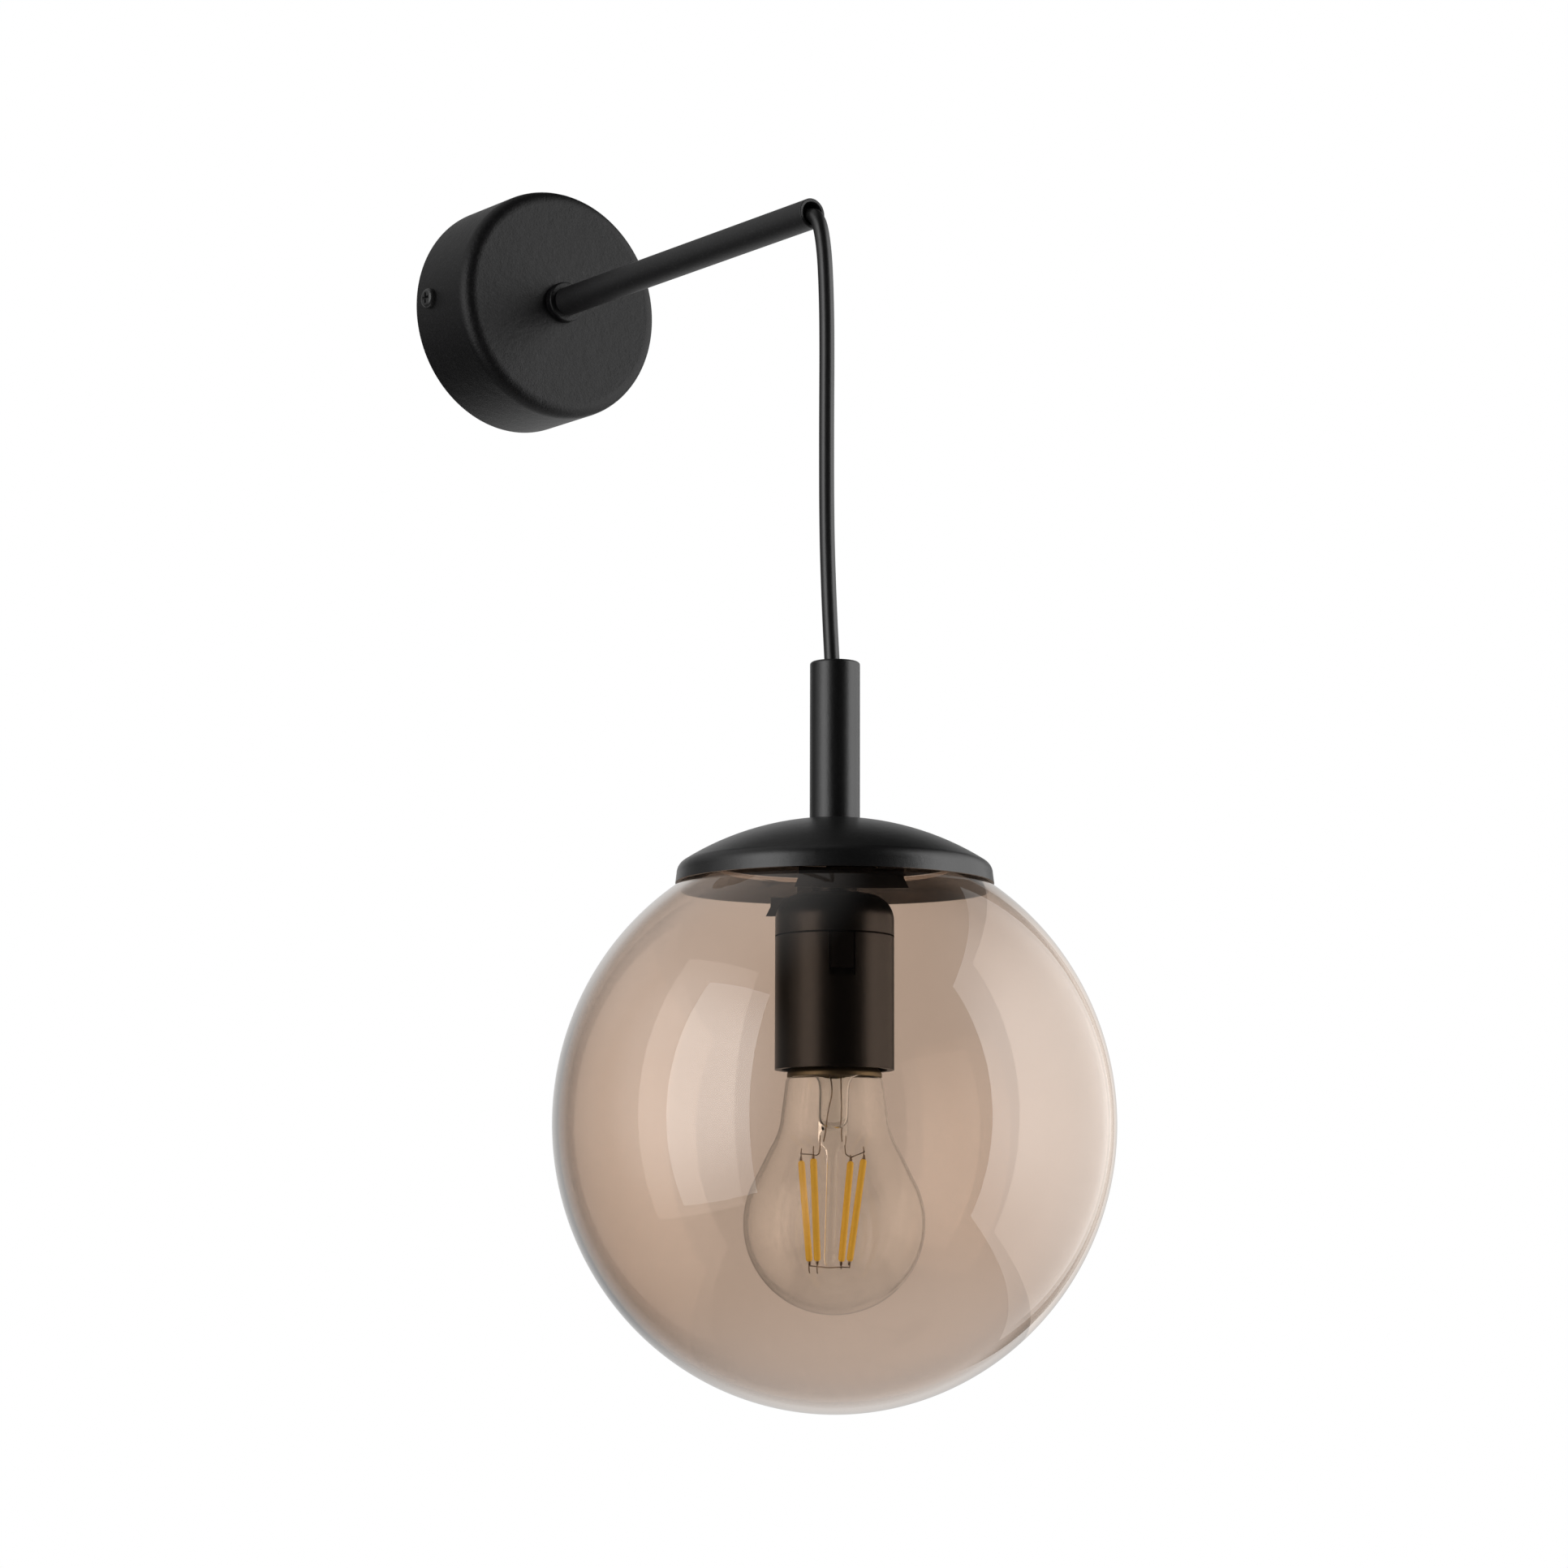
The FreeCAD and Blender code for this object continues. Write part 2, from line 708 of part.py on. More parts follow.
def cordStopScrew():
    middle = "-armTail + stopLength / 2"
    rod = cylinder("cord_stop_screw_rod", "stopScrewRadius", "stopRadius - cordRadius", "Z",
                   "0", middle, "cordRadius")
    groove = box("cord_stop_screw_slot", "stopScrewRadius * 3", "smallSlotWidth", "stopSlotDepth",
                 "0", middle, "stopRadius - stopSlotDepth")
    return cut("cord_stop_screw", rod, groove)


def terminalBlock():
    body = box("block_body", "blockWidth", "blockHeight", "blockLength", "blockPlace",
               "-bracketSheet - blockHeight / 2", "-blockLength / 2")
    holes = []
    for pole in (-1, 0, 1):
        height = "%d * poleSpacing" % pole
        holes.append(cylinder("pole_hole_%d" % (pole + 2), "clampRadius", "blockWidth", "X",
                              "blockPlace - blockWidth / 2", "-clampDepth", height))
        for side in (-1, 1):
            holes.append(cylinder("screw_well_%d_%d" % (pole + 2, side + 2), "terminalScrewRadius + holePlay",
                                  "wellDepth", "Y",
                                  "blockPlace + %d * terminalScrewSpacing / 2" % side,
                                  "-bracketSheet - blockHeight", height))
    holes.append(cylinder("block_fixing_hole", "terminalScrewRadius + threadPlay", "blockHeight", "Y",
                          "blockPlace", "-bracketSheet - blockHeight", "poleSpacing / 2"))
    return cut("terminal_block", body, join("block_holes", *holes))


def terminalClamps():
    clamps = []
    for pole in (-1, 0, 1):
        clamps.append(ring("clamp_%d" % (pole + 2), "clampBore", "clampRadius",
                           "blockWidth - 2 * clampInset", "X", "blockPlace - blockWidth / 2 + clampInset",
                           "-clampDepth", "%d * poleSpacing" % pole))
    return group("terminal_clamps", *clamps)


def terminalScrews():
    screws = []
    top = "-bracketSheet - blockHeight + terminalScrewSink"
    length = "wellDepth - clampRadius - terminalScrewSink"
    for pole in (-1, 0, 1):
        for side in (-1, 1):
            name = "terminal_screw_%d_%d" % (pole + 2, side + 2)
            x = "blockPlace + %d * terminalScrewSpacing / 2" % side
            height = "%d * poleSpacing" % pole
            rod = cylinder(name + "_rod", "terminalScrewRadius", length, "Y", x, top, height)
            groove = box(name + "_slot", "smallSlotWidth", "2 * terminalSlotDepth", "terminalScrewRadius * 3",
                         x, top, height + " - terminalScrewRadius * 1.5")
            screws.append(cut(name, rod, groove))
    return group("terminal_screws", *screws)


def blockFixing():
    rod = cylinder("block_fixing_rod", "terminalScrewRadius", "blockHeight + bracketSheet", "Y", "blockPlace",
                   "-bracketSheet - blockHeight", "poleSpacing / 2")
    head = cylinder("block_fixing_head", "fixingHead", "fixingHeadHeight", "Y", "blockPlace",
                    "-bracketSheet - blockHeight - fixingHeadHeight", "poleSpacing / 2")
    return join("terminal_fixing_screw", rod, head)


def earthLug():
    disc = ring("earth_lug_ring", "earthScrewRadius + holePlay", "earthScrewHead + lugMargin", "lugSheet",
                "Y", "-earthPlace", "-bracketSheet - lugSheet")
    spot = ("-earthPlace + lugBarrelReach", "-bracketSheet - lugBarrelRadius")
    barrel = cylinder("earth_lug_barrel", "lugBarrelRadius", "lugBarrelLength", "X", *spot)
    bore = cylinder("earth_lug_bore", "coreRadius", "lugBarrelLength", "X", *spot)
    return cut("earth_lug", join("earth_lug_blank", disc, barrel), bore)


def earthScrew():
    rod = cylinder("earth_screw_rod", "earthScrewRadius", "bracketSheet + lugSheet", "Y", "-earthPlace",
                   "-bracketSheet - lugSheet")
    top = "-bracketSheet - lugSheet - earthScrewHeadHeight"
    head = cylinder("earth_screw_head", "earthScrewHead", "earthScrewHeadHeight", "Y", "-earthPlace", top)
    groove = box("earth_screw_slot", "earthSlotWidth", "2 * earthSlotDepth", "earthScrewHead * 3",
                 "-earthPlace", top, "-earthScrewHead * 1.5")
    return cut("earth_screw", join("earth_screw_blank", rod, head), groove)


def poleMouth(pole):
    """The point where a wire goes into a pole of the terminal block from the inner side."""
    return Vector(size("blockPlace - blockWidth / 2 + clampInset"), -size("clampDepth"),
                  pole * size("poleSpacing"))


def earthWire():
    start = Vector(size("lugBarrelReach - earthPlace"), -size("bracketSheet + lugBarrelRadius"), 0)
    end = poleMouth(0)
    depth = end.y
    points = [start, start + Vector(7, 0, 0), Vector(start.x + 13, (start.y + depth) / 2, -2.2),
              Vector(end.x - 7, depth, 0), end]
    return tube("earth_wire", points, size("coreRadius"))


def cableEnd():
    return -size("armTail - stopLength - sheathStub")


def coreInCanopy(name, side, pole):
    """A bare core from the sheath's cut end to its pole of the terminal block."""
    start = Vector(side * size("coreOffset"), cableEnd(), 0)
    end = poleMouth(pole)
    height = end.z
    points = [start, start + Vector(0, 2, 0), Vector(start.x + 2.2, start.y + 4.2, height * 0.25),
              Vector(end.x - 5.5, (start.y + end.y) / 2 + 1.6, height * 0.9),
              Vector(end.x - 2.6, end.y, height), end]
    return tube(name, points, size("coreRadius"))


def cableInArm():
    start = cableEnd()
    end = routePoint(route[0]).y
    return cylinderBetween("cable_in_arm", Vector(0, start, 0), Vector(0, end, 0))


def cylinderBetween(name, start, end):
    thing = doc.addObject("Part::Feature", name)
    thing.Shape = along(start, end, size("cordRadius"))
    return thing


def socketBall(radius):
    return Part.makeSphere(radius, routePoint(route[hingeIndex]))


def cableBend():
    """The stretch over the arm's lower lip. It ends in a cup round the ball of the next stretch."""
    points = [routePoint(pair) for pair in route[:hingeIndex + 1]]
    thing = tube("cable_bend_tube", points, size("cordRadius"))
    whole = doc.addObject("Part::Feature", "cable_bend")
    whole.Shape = thing.Shape.cut(socketBall(size("cordRadius + turnGap")))
    return whole


def cableDrop():
    """The hanging stretch. Its upper end is a ball, so that it can swing without cutting into the bend."""
    points = [routePoint(pair) for pair in route[hingeIndex:]]
    thing = tube("cable_drop_tube", points, size("cordRadius"))
    whole = doc.addObject("Part::Feature", "cable_drop")
    whole.Shape = thing.Shape.fuse(socketBall(size("cordRadius"))).removeSplitter()
    return whole


# Pendant
def stemTube():
    hollow = "stemRadius - stemWall"
    floor = "(stemFoot - stemFloor)"
    return onPendant(turned("stem_tube", [
        ("stemMouth", "-stemTop - stemWall"),
        ("stemMouth", "-stemTop"),
        ("stemRadius - stemEdge", "-stemTop", "stemEdge", "left"),
        ("stemRadius", "-stemTop - stemEdge"),
        ("stemRadius", "-stemFoot"),
        ("nippleRadius + threadPlay", "-stemFoot"),
        ("nippleRadius + threadPlay", "-%s" % floor),
        (hollow, "-%s" % floor),
        (hollow, "-stemTop - stemWall"),
    ]))


def cordGrip():
    return onPendant(turned("cord_grip", [
        ("cordRadius", "-(stemFoot - stemFloor)"),
        ("cordRadius", "-(stemFoot - stemFloor - gripLength)"),
        ("gripRadius - gripChamfer", "-(stemFoot - stemFloor - gripLength)"),
        ("gripRadius", "-(stemFoot - stemFloor - gripLength + gripChamfer)"),
        ("gripRadius", "-(stemFoot - stemFloor)"),
    ]))


def cableInStem():
    y = -size("pendantReach")
    foot = -size("lampholderTop + sheathEntry")
    return cylinderBetween("cable_in_stem", Vector(0, y, route[-1][1]), Vector(0, y, foot))


def nipple():
    foot = "-(lampholderTop + nippleEntry)"
    head = "-(stemFoot - stemFloor)"
    return onPendant(turned("threaded_nipple", [
        ("nippleBore", foot), ("nippleRadius", foot), ("nippleRadius", head), ("nippleBore", head),
    ]))


def capDome():
    shoulder = "(capCentre - sqrt(capDomeRadius^2 - shoulderRadius^2))"
    bandTop = "(%s + shoulderBend * sqrt(1 - (shoulderRadius / capDomeRadius)^2))" % shoulder
    body = turned("cap_dome", [
        ("0", "-capRim"),
        ("0", "-stemFoot"),
        ("capFlat", "-stemFoot", "capDomeRadius", "left"),
        ("shoulderRadius", "-%s" % shoulder, "shoulderBend", "left"),
        ("capRadius - capFlare", "-%s" % bandTop),
        ("capRadius", "-capRim"),
    ])
    rim = size("capRim")
    hollowed(body, "capSheet", lambda face: abs(face.CenterOfMass.z + rim) < 1e-6)
    pocket(body, circles(body, "XY_Plane", [("0", "0", "nippleRadius + holePlay")], "nipple_hole"))
    return onPendant(body)


def glassHolder():
    """A spring strap under the cap. Its two arms spread under the edge of the globe's hole."""
    sheet = size("holderSheet")
    half = size("holderWidth / 2")
    top = -size("stemFoot + capSheet + washerSheet")
    neck = math.sqrt(size("globeHole") ** 2 - half * half) - size("fitGap")
    inside = size("globeHole / (globeRadius - globeWall)")
    lip = -size("globeDrop") + size("globeHalfHeight - globeWall") * math.sqrt(1 - inside * inside)
    side = [Vector(x, 0, z) for x, z in (
        (0, top), (size("holderFlat"), top),
        (neck - size("holderSlopeReach"), lip + size("holderSlopeRise")),
        (neck, lip + size("holderNeckRise")), (neck, lip + size("turnGap")),
        (neck + size("holderKickReach"), lip - size("holderKickDrop")))]
    drop = [(0, -sheet), (0, -sheet), (-0.6 * sheet, -0.8 * sheet), (-sheet, -0.4 * sheet),
            (-sheet, 0), (-sheet, 0)]
    solids = []
    for outward in (1, -1):
        outer = [Vector(outward * point.x, 0, point.z) for point in side]
        inner = [point + Vector(outward * x, 0, z) for point, (x, z) in zip(outer, drop)]
        arm = Part.Face(Part.makePolygon(outer + inner[::-1] + [outer[0]])).extrude(Vector(0, 2 * half, 0))
        arm.translate(Vector(0, -half, 0))
        high = outer[-1]
        low = high + Vector(outward * size("holderFootLean"), 0, -size("holderFootHeight"))
        middle = (high + low) / 2
        wide = size("holderFoot / 2")
        flared = wide + size("holderFootFlare")
        plate = Part.Face(Part.makePolygon([
            high + Vector(0, -wide, 0), high + Vector(0, wide, 0), middle + Vector(0, wide, 0),
            low + Vector(0, flared, 0), low + Vector(0, -flared, 0), middle + Vector(0, -wide, 0),
            high + Vector(0, -wide, 0)]))
        solids += [arm, plate.extrude(Vector(-outward * sheet, 0, 0))]
    solid = solids[0].multiFuse(solids[1:]).removeSplitter()
    hole = Part.makeCylinder(size("nippleRadius + holePlay"), 10 * sheet, Vector(0, 0, top - 5 * sheet))
    thing = doc.addObject("Part::Feature", "glass_holder")
    thing.Shape = solid.cut(hole)
    thing.Placement = FreeCAD.Placement(Vector(0, -size("pendantReach"), 0),
                                        Rotation(Vector(0, 0, 1), 90 - size("pendantTurn")))
    return thing


def capWasher():
    return ring("cap_lock_washer", "threadRadius + holePlay", "washerRadius", "washerSheet", "Z", "0",
                "-pendantReach", "-(stemFoot + capSheet + washerSheet)")


def capNut():
    return hexNut("cap_nut", "Z", "-pendantReach",
                  "-(stemFoot + capSheet + washerSheet + holderSheet + nutHeight)")


def glassGlobe():
    parts = []
    for name, inset in (("globe_outside", "0"), ("globe_inside", "globeWall")):
        thing = doc.addObject("Part::Ellipsoid", name)
        bindAll(thing, Radius1="globeHalfHeight - " + inset, Radius2="globeRadius - " + inset,
                Radius3="globeRadius - " + inset)
        parts.append(place(thing, "0", "-pendantReach", "-globeDrop"))
    shell = cut("globe_shell", parts[0], parts[1])
    hole = cylinder("globe_hole", "globeHole", "globeHalfHeight", "Z", "0", "-pendantReach", "-globeDrop")
    return cut("glass_globe", shell, hole)


def lampholderNut():
    return hexNut("lampholder_nut", "Z", "-pendantReach", "-(lampholderTop - domeNeckHeight)")


def latch(name, radiusOut, radiusIn, width, top, foot):
    """Two curved blocks in the skirt's wall, one each side, for the latches or their windows."""
    height = "(%s) - (%s)" % (foot, top)
    low = "-(%s)" % foot
    outer = cylinder(name + "_outer", radiusOut, height, "Z", "0", "0", low)
    inner = cylinder(name + "_inner", radiusIn, height, "Z", "0", "0", low)
    bar = box(name + "_bar", width, "lampholderRadius * 3", height, "0", "0", low)
    common = doc.addObject("Part::MultiCommon", name)
    common.Shapes = [cut(name + "_ring", outer, inner), bar]
    return common


def turnedOnPendant(thing):
    """Turns a piece drawn at the origin to the pendant's own angle and moves it to its axis."""
    thing.Placement = FreeCAD.Placement(Vector(), Rotation(Vector(0, 0, 1), -size("pendantTurn")))
    return place(thing, "0", "-pendantReach", "0")


def lampholderDome():
    inside = "(innerRadius - domeEdge / 3)"
    body = turned("dome_shell", [
        ("nippleRadius + threadPlay", "-(lampholderTop - domeNeckHeight)"),
        ("domeNeck", "-(lampholderTop - domeNeckHeight)"),
        ("domeNeck", "-lampholderTop"),
        ("lampholderRadius - domeEdge", "-lampholderTop", "domeEdge", "left"),
        ("lampholderRadius", "-(lampholderTop + domeEdge)"),
        ("lampholderRadius", "-lampholderJoint"),
        ("innerRadius", "-lampholderJoint"),
        ("innerRadius", "-(lampholderTop + domeEdge)"),
        (inside, "-(lampholderTop + domeRoof + domeEdge / 6)"),
        ("lampholderRadius - domeEdge", "-(lampholderTop + domeRoof)"),
        ("nippleRadius + threadPlay", "-(lampholderTop + domeRoof)"),
    ])
    tongues = latch("dome_latches", "lampholderRadius - latchSink", "innerRadius", "latchWidth",
                    "lampholderJoint - latchRoot", "lampholderJoint + latchLength")
    return turnedOnPendant(join("lampholder_dome", body, tongues))


def lampholderSkirt():
    tubeShape = ring("skirt_tube", "innerRadius", "lampholderRadius", "skirtLength", "Z", "0", "0",
                     "-lampholderFoot")
    windows = latch("skirt_windows", "lampholderRadius + 1", "innerRadius - 1",
                    "latchWidth + 2 * latchGap", "lampholderJoint", "lampholderJoint + windowLength")
    return turnedOnPendant(cut("lampholder_skirt", tubeShape, windows))


def lampholderCore():
    radius = "(innerRadius - fitGap)"
    body = turned("lampholder_core", [
        ("0", "-coreTop"),
        (radius, "-coreTop"),
        (radius, "-sleeveFoot"),
        ("shellRadius + shellWall", "-sleeveFoot"),
        ("shellRadius + shellWall", "-coreFoot"),
        ("0", "-coreFoot"),
    ])
    spots = [(side + "coreScrewPlace", "0", "terminalScrewRadius + threadPlay") for side in ("-", "")]
    pocket(body, circles(body, "XY_Plane", spots, "terminal_wells"), "coreTop + coreScrewDepth")
    return onPendant(body)


def coreScrews():
    screws = []
    for side in (-1, 1):
        name = "core_screw_%d" % (side + 2)
        x = "%d * coreScrewPlace" % side
        rod = cylinder(name + "_rod", "terminalScrewRadius", "coreScrewDepth", "Z", x, "-pendantReach",
                       "-(coreTop + coreScrewDepth)")
        head = cylinder(name + "_head", "coreScrewHead", "coreScrewHeadHeight", "Z", x, "-pendantReach",
                        "-coreTop")
        screws.append(join(name, rod, head))
    return group("lampholder_terminal_screws", *screws)


def screwShell():
    height = "sleeveFoot - coreFoot - shellTopGap - shellFootGap"
    return ring("screw_shell", "shellRadius", "shellRadius + shellWall", height, "Z", "0", "-pendantReach",
                "-(sleeveFoot - shellFootGap)")


def centreContact():
    """A folded leaf spring over the bulb's end contact."""
    half = size("contactWidth / 2")
    top = -size("coreFoot")
    tip = -size("bulbTop - turnGap")
    fold = tip + size("contactSheet")
    root = -size("contactRoot")
    end = -size("contactTip")
    turn = size("contactFold")
    inside = turn - size("contactFoldLength")
    strip = Part.makePolygon([Vector(x, 0, z) for x, z in (
        (root, top), (root + size("contactRootLength"), top), (turn, fold), (turn, tip), (end, tip),
        (end, fold), (inside, fold), (root, top - size("contactSheet")), (root, top))])
    solid = Part.Face(strip).extrude(Vector(0, 2 * half, 0))
    solid.translate(Vector(0, -half - size("pendantReach"), 0))
    thing = doc.addObject("Part::Feature", "centre_contact")
    thing.Shape = solid
    return thing


def coreInHolder(name, side):
    """A bare core from the sheath's cut end to its terminal screw on the lampholder's core."""
    start = Vector(side * size("coreOffset"), -size("pendantReach"), -size("lampholderTop + sheathEntry"))
    end = Vector(side * size("coreScrewPlace - coreScrewHead"), start.y, -size("coreTop - coreRadius"))
    points = [start, start + Vector(0, 0, -1.6), Vector(start.x + side * 1.3, start.y, start.z - 3.4),
              Vector(end.x - side * 1.8, end.y, end.z + 0.1), end]
    return tube(name, points, size("coreRadius"))


# Bulb
def bulbContact():
    return onPendant(turned("bulb_contact", [
        ("0", "-(bulbTop + bulbContactHeight)"),
        ("0", "-bulbTop"),
        ("bulbContactFlat", "-bulbTop"),
        ("bulbContactRadius", "-(bulbTop + bulbContactEdge)"),
        ("bulbContactRadius", "-(bulbTop + bulbContactHeight)"),
    ]))


def bulbInsulator():
    return onPendant(turned("bulb_insulator", [
        ("0", "-(bulbTop + insulatorFoot)"),
        ("0", "-(bulbTop + bulbContactHeight)"),
        ("insulatorTopRadius", "-(bulbTop + bulbContactHeight)"),
        ("insulatorRadius", "-(bulbTop + insulatorShoulder)"),
        ("insulatorRadius", "-(bulbTop + insulatorFoot)"),
    ]))


def bulbCap():
    """The sheet metal cap, as the plain sleeve inside its thread's crests."""
    mouth = "(insulatorRadius + turnGap)"
    outer = [
        (mouth, "-(bulbTop + bulbCapEdgeStart)"),
        ("bulbCapRadius - bulbCapEdge", "-(bulbTop + bulbCapEdgeFoot)"),
        ("bulbCapRadius", "-(bulbTop + bulbThreadStart)"),
        ("bulbCapRadius", "-(collarFoot - bulbSkirtHeight)"),
        ("bulbSkirtRadius", "-(collarFoot - bulbSkirtBand)"),
        ("bulbSkirtRadius", "-collarFoot"),
    ]
    inner = [
        ("bulbSkirtRadius - bulbCapSheet", "-collarFoot"),
        ("bulbSkirtRadius - bulbCapSheet", "-(collarFoot - bulbSkirtBand + bulbCapSheet / 3)"),
        ("bulbCapRadius - bulbCapSheet", "-(collarFoot - bulbSkirtHeight + bulbCapSheet / 3)"),
        ("bulbCapRadius - bulbCapSheet", "-(bulbTop + bulbThreadStart + bulbCapSheet / 2)"),
        ("bulbCapRadius - bulbCapEdge - bulbCapSheet", "-(bulbTop + bulbCapEdgeFoot + bulbCapSheet)"),
        (mouth, "-(bulbTop + bulbCapEdgeStart + bulbCapSheet)"),
    ]
    return onPendant(turned("bulb_cap", outer + inner))


def bulbGlass():
    fitted = "(bulbSkirtRadius - bulbCapSheet - threadPlay)"
    inside = "(bulbRadius - bulbWall)"
    ball = ("%s * cos(ballAngle * 1 deg)", "-(bulbCentre - %s * sin(ballAngle * 1 deg))")
    outer = [
        ("0", "-bulbFoot", "bulbRadius", "right"),
        (ball[0] % "bulbRadius", ball[1] % "bulbRadius"),
        ("bulbNeckRadius + blendFlare", "-(collarFoot + blendDrop)", "blendRadius", "left"),
        ("bulbNeckRadius + waistFlare", "-(collarFoot + waistDrop)"),
        ("bulbNeckRadius", "-(collarFoot + neckStepDrop)"),
        (fitted, "-collarFoot"),
        (fitted, "-(collarFoot - bulbSkirtBand + bulbCapSheet)"),
        ("bulbCapRadius - neckFlareInset", "-(collarFoot - neckFlareTuck)"),
        ("bulbCapRadius - neckTuckInset", "-(collarFoot - neckTuck)"),
    ]
    inner = [
        ("bulbCapRadius - neckTuckInset - bulbWall", "-(collarFoot - neckTuck)"),
        ("bulbCapRadius - neckFlareInset - bulbWall", "-(collarFoot - neckFlareTuck)"),
        (fitted + " - bulbWall", "-(collarFoot - bulbCapSheet)"),
        ("bulbNeckRadius - bulbWall", "-(collarFoot + neckStepDrop)"),
        ("bulbNeckRadius + waistFlare - bulbWall", "-(collarFoot + waistDrop)", "blendRadius + bulbWall",
         "right"),
        ("bulbNeckRadius + blendFlare - bulbWall", "-(collarFoot + blendDrop + bulbCapSheet)"),
        (ball[0] % inside, ball[1] % inside, inside, "left"),
    ]
    return onPendant(turned("bulb_glass", [("0", "-(bulbFoot - bulbWall)")] + outer + inner))


def bulbStem():
    """The inner glass: a flared tube, the flat pinch that seals the wires, and the long centre rod."""
    y = -size("pendantReach")
    radius = size("bulbStemRadius")
    wall = size("bulbStemWall")
    high = -size("collarFoot + bulbStemStart")
    length = size("bulbStemLength")
    outside = size("bulbCapRadius - stemFlareInset - bulbWall")
    flareHeight = size("stemFlareHeight")
    mouth = Vector(0, y, high - wall / 2)
    flare = Part.makeCone(radius, outside, flareHeight, mouth, Vector(0, 0, 1))
    tubeShape = Part.makeCylinder(radius, length, Vector(0, y, high - length))
    hollow = Part.makeCylinder(radius - wall, length, Vector(0, y, high - length + wall))
    inside = Part.makeCone(radius - wall, outside - wall, flareHeight, mouth, Vector(0, 0, 1))
    half = radius - size("pinchInset")
    sheet = size("pinchSheet")
    corner = Vector(-half, y - sheet / 2, -size("pinchFoot"))
    pinch = Part.makeBox(2 * half, sheet, size("pinchHeight"), corner)
    pinch.rotate(Vector(0, y, 0), Vector(0, 0, 1), size("filamentTurn") - 45)
    low = Vector(0, y, -size("filamentLow"))
    rod = Part.makeCylinder(size("rodRadius"), size("filamentLow - pinchFoot") + sheet / 2, low)
    tip = Part.makeSphere(size("rodRadius"), low)
    solid = flare.fuse(tubeShape).cut(hollow.fuse(inside)).multiFuse([pinch, rod, tip]).removeSplitter()
    thing = doc.addObject("Part::Feature", "bulb_stem")
    thing.Shape = solid
    return thing


def filamentEnds():
    """The upper and lower end of each filament."""
    ends = []
    y = -size("pendantReach")
    top = -size("filamentHigh")
    foot = -size("filamentLow")
    for index in range(4):
        angle = math.radians(size("filamentTurn") + 90 * index)
        out = Vector(math.cos(angle), math.sin(angle), 0)
        ends.append((Vector(0, y, top) + out * size("filamentTopSpread"),
                     Vector(0, y, foot) + out * size("filamentFootSpread")))
    return ends


def filaments():
    radius = size("filamentRadius")
    thing = doc.addObject("Part::Feature", "filaments")
    thing.Shape = Part.makeCompound([along(top, foot, radius) for top, foot in filamentEnds()])
    return thing


def wireRun(points, radius):
    pieces = [along(a, b, radius) for a, b in zip(points, points[1:])]
    pieces += [Part.makeSphere(radius, point) for point in points[1:-1]]
    return pieces[0].multiFuse(pieces[1:])


def filamentWires():
    """Wires from the pinch to each filament's top, and from each foot to the rod's end."""
    y = -size("pendantReach")
    radius = size("filamentWireRadius")
    rise = Vector(0, 0, size("wireTopRise"))
    fall = Vector(0, 0, -size("wireFootDrop"))
    runs = []
    ends = filamentEnds()
    turn = math.radians(size("filamentTurn") - 45)
    across = Vector(math.cos(turn), math.sin(turn), 0)
    for first, second, side in ((0, 3, 1), (1, 2, -1)):
        pin = Vector(0, y, -size("pinchFoot")) + across * (side * size("bulbStemRadius - wirePinInset"))
        low = pin + Vector(0, 0, -size("wirePinDrop"))
        for index in (first, second):
            top = ends[index][0]
            runs.append(wireRun([pin, low, top + rise, top], radius))
    merged = [runs[0].fuse(runs[1]), runs[2].fuse(runs[3])]
    centre = Vector(0, y, -size("filamentLow + wireCentreDrop"))
    feet = [wireRun([centre, foot + fall, foot], radius) for top, foot in ends]
    merged.append(feet[0].multiFuse(feet[1:]))
    thing = doc.addObject("Part::Feature", "filament_wires")
    thing.Shape = Part.makeCompound(merged)
    return thing


def leadWires():
    """Two thin wires from the driver board down inside the stem to the pinch."""
    y = -size("pendantReach")
    turn = math.radians(size("filamentTurn") - 45)
    across = Vector(math.cos(turn), math.sin(turn), 0)
    wires = []
    for side in (-1, 1):
        high = Vector(0, y, -size("boardFoot")) + across * (side * size("leadSpreadTop"))
        foot = Vector(0, y, -size("pinchTop")) + across * (side * size("leadSpreadFoot"))
        wires.append(along(high, foot, size("filamentWireRadius")))
    thing = doc.addObject("Part::Feature", "lead_wires")
    thing.Shape = Part.makeCompound(wires)
    return thing


def driverBoard():
    top = "-(boardFoot - boardSheet)"
    board = cylinder("driver_board_disc", "bulbCapRadius - bulbCapSheet", "boardSheet", "Z", "0",
                     "-pendantReach", "-boardFoot")
    chip = box("driver_board_chip", "chipLength", "chipWidth", "chipHeight", "0", "-pendantReach", top)
    tall = cylinder("driver_board_capacitor", "capacitorRadius", "capacitorHeight", "Z", "capacitorPlace",
                    "-pendantReach", top)
    return join("driver_board", board, chip, tall)


nodes = [
    wallBracket(), canopyCup(), canopyScrews(), armTube(), armCollar(), armWasher(), armNut(),
    cordStop(), cordStopScrew(), terminalBlock(), terminalClamps(), terminalScrews(), blockFixing(),
    earthLug(), earthScrew(), earthWire(), coreInCanopy("live_core", 1, 1),
    coreInCanopy("neutral_core", -1, -1), cableInArm(), cableBend(), cableDrop(),
    stemTube(), cordGrip(), cableInStem(), nipple(), capDome(), glassHolder(), capWasher(), capNut(),
    glassGlobe(), lampholderNut(), lampholderDome(), lampholderSkirt(), lampholderCore(), coreScrews(),
    screwShell(), centreContact(), coreInHolder("holder_live_core", 1),
    coreInHolder("holder_neutral_core", -1), bulbContact(), bulbInsulator(), bulbCap(), bulbGlass(),
    bulbStem(), filaments(), filamentWires(), leadWires(), driverBoard(),
]
doc.recompute()

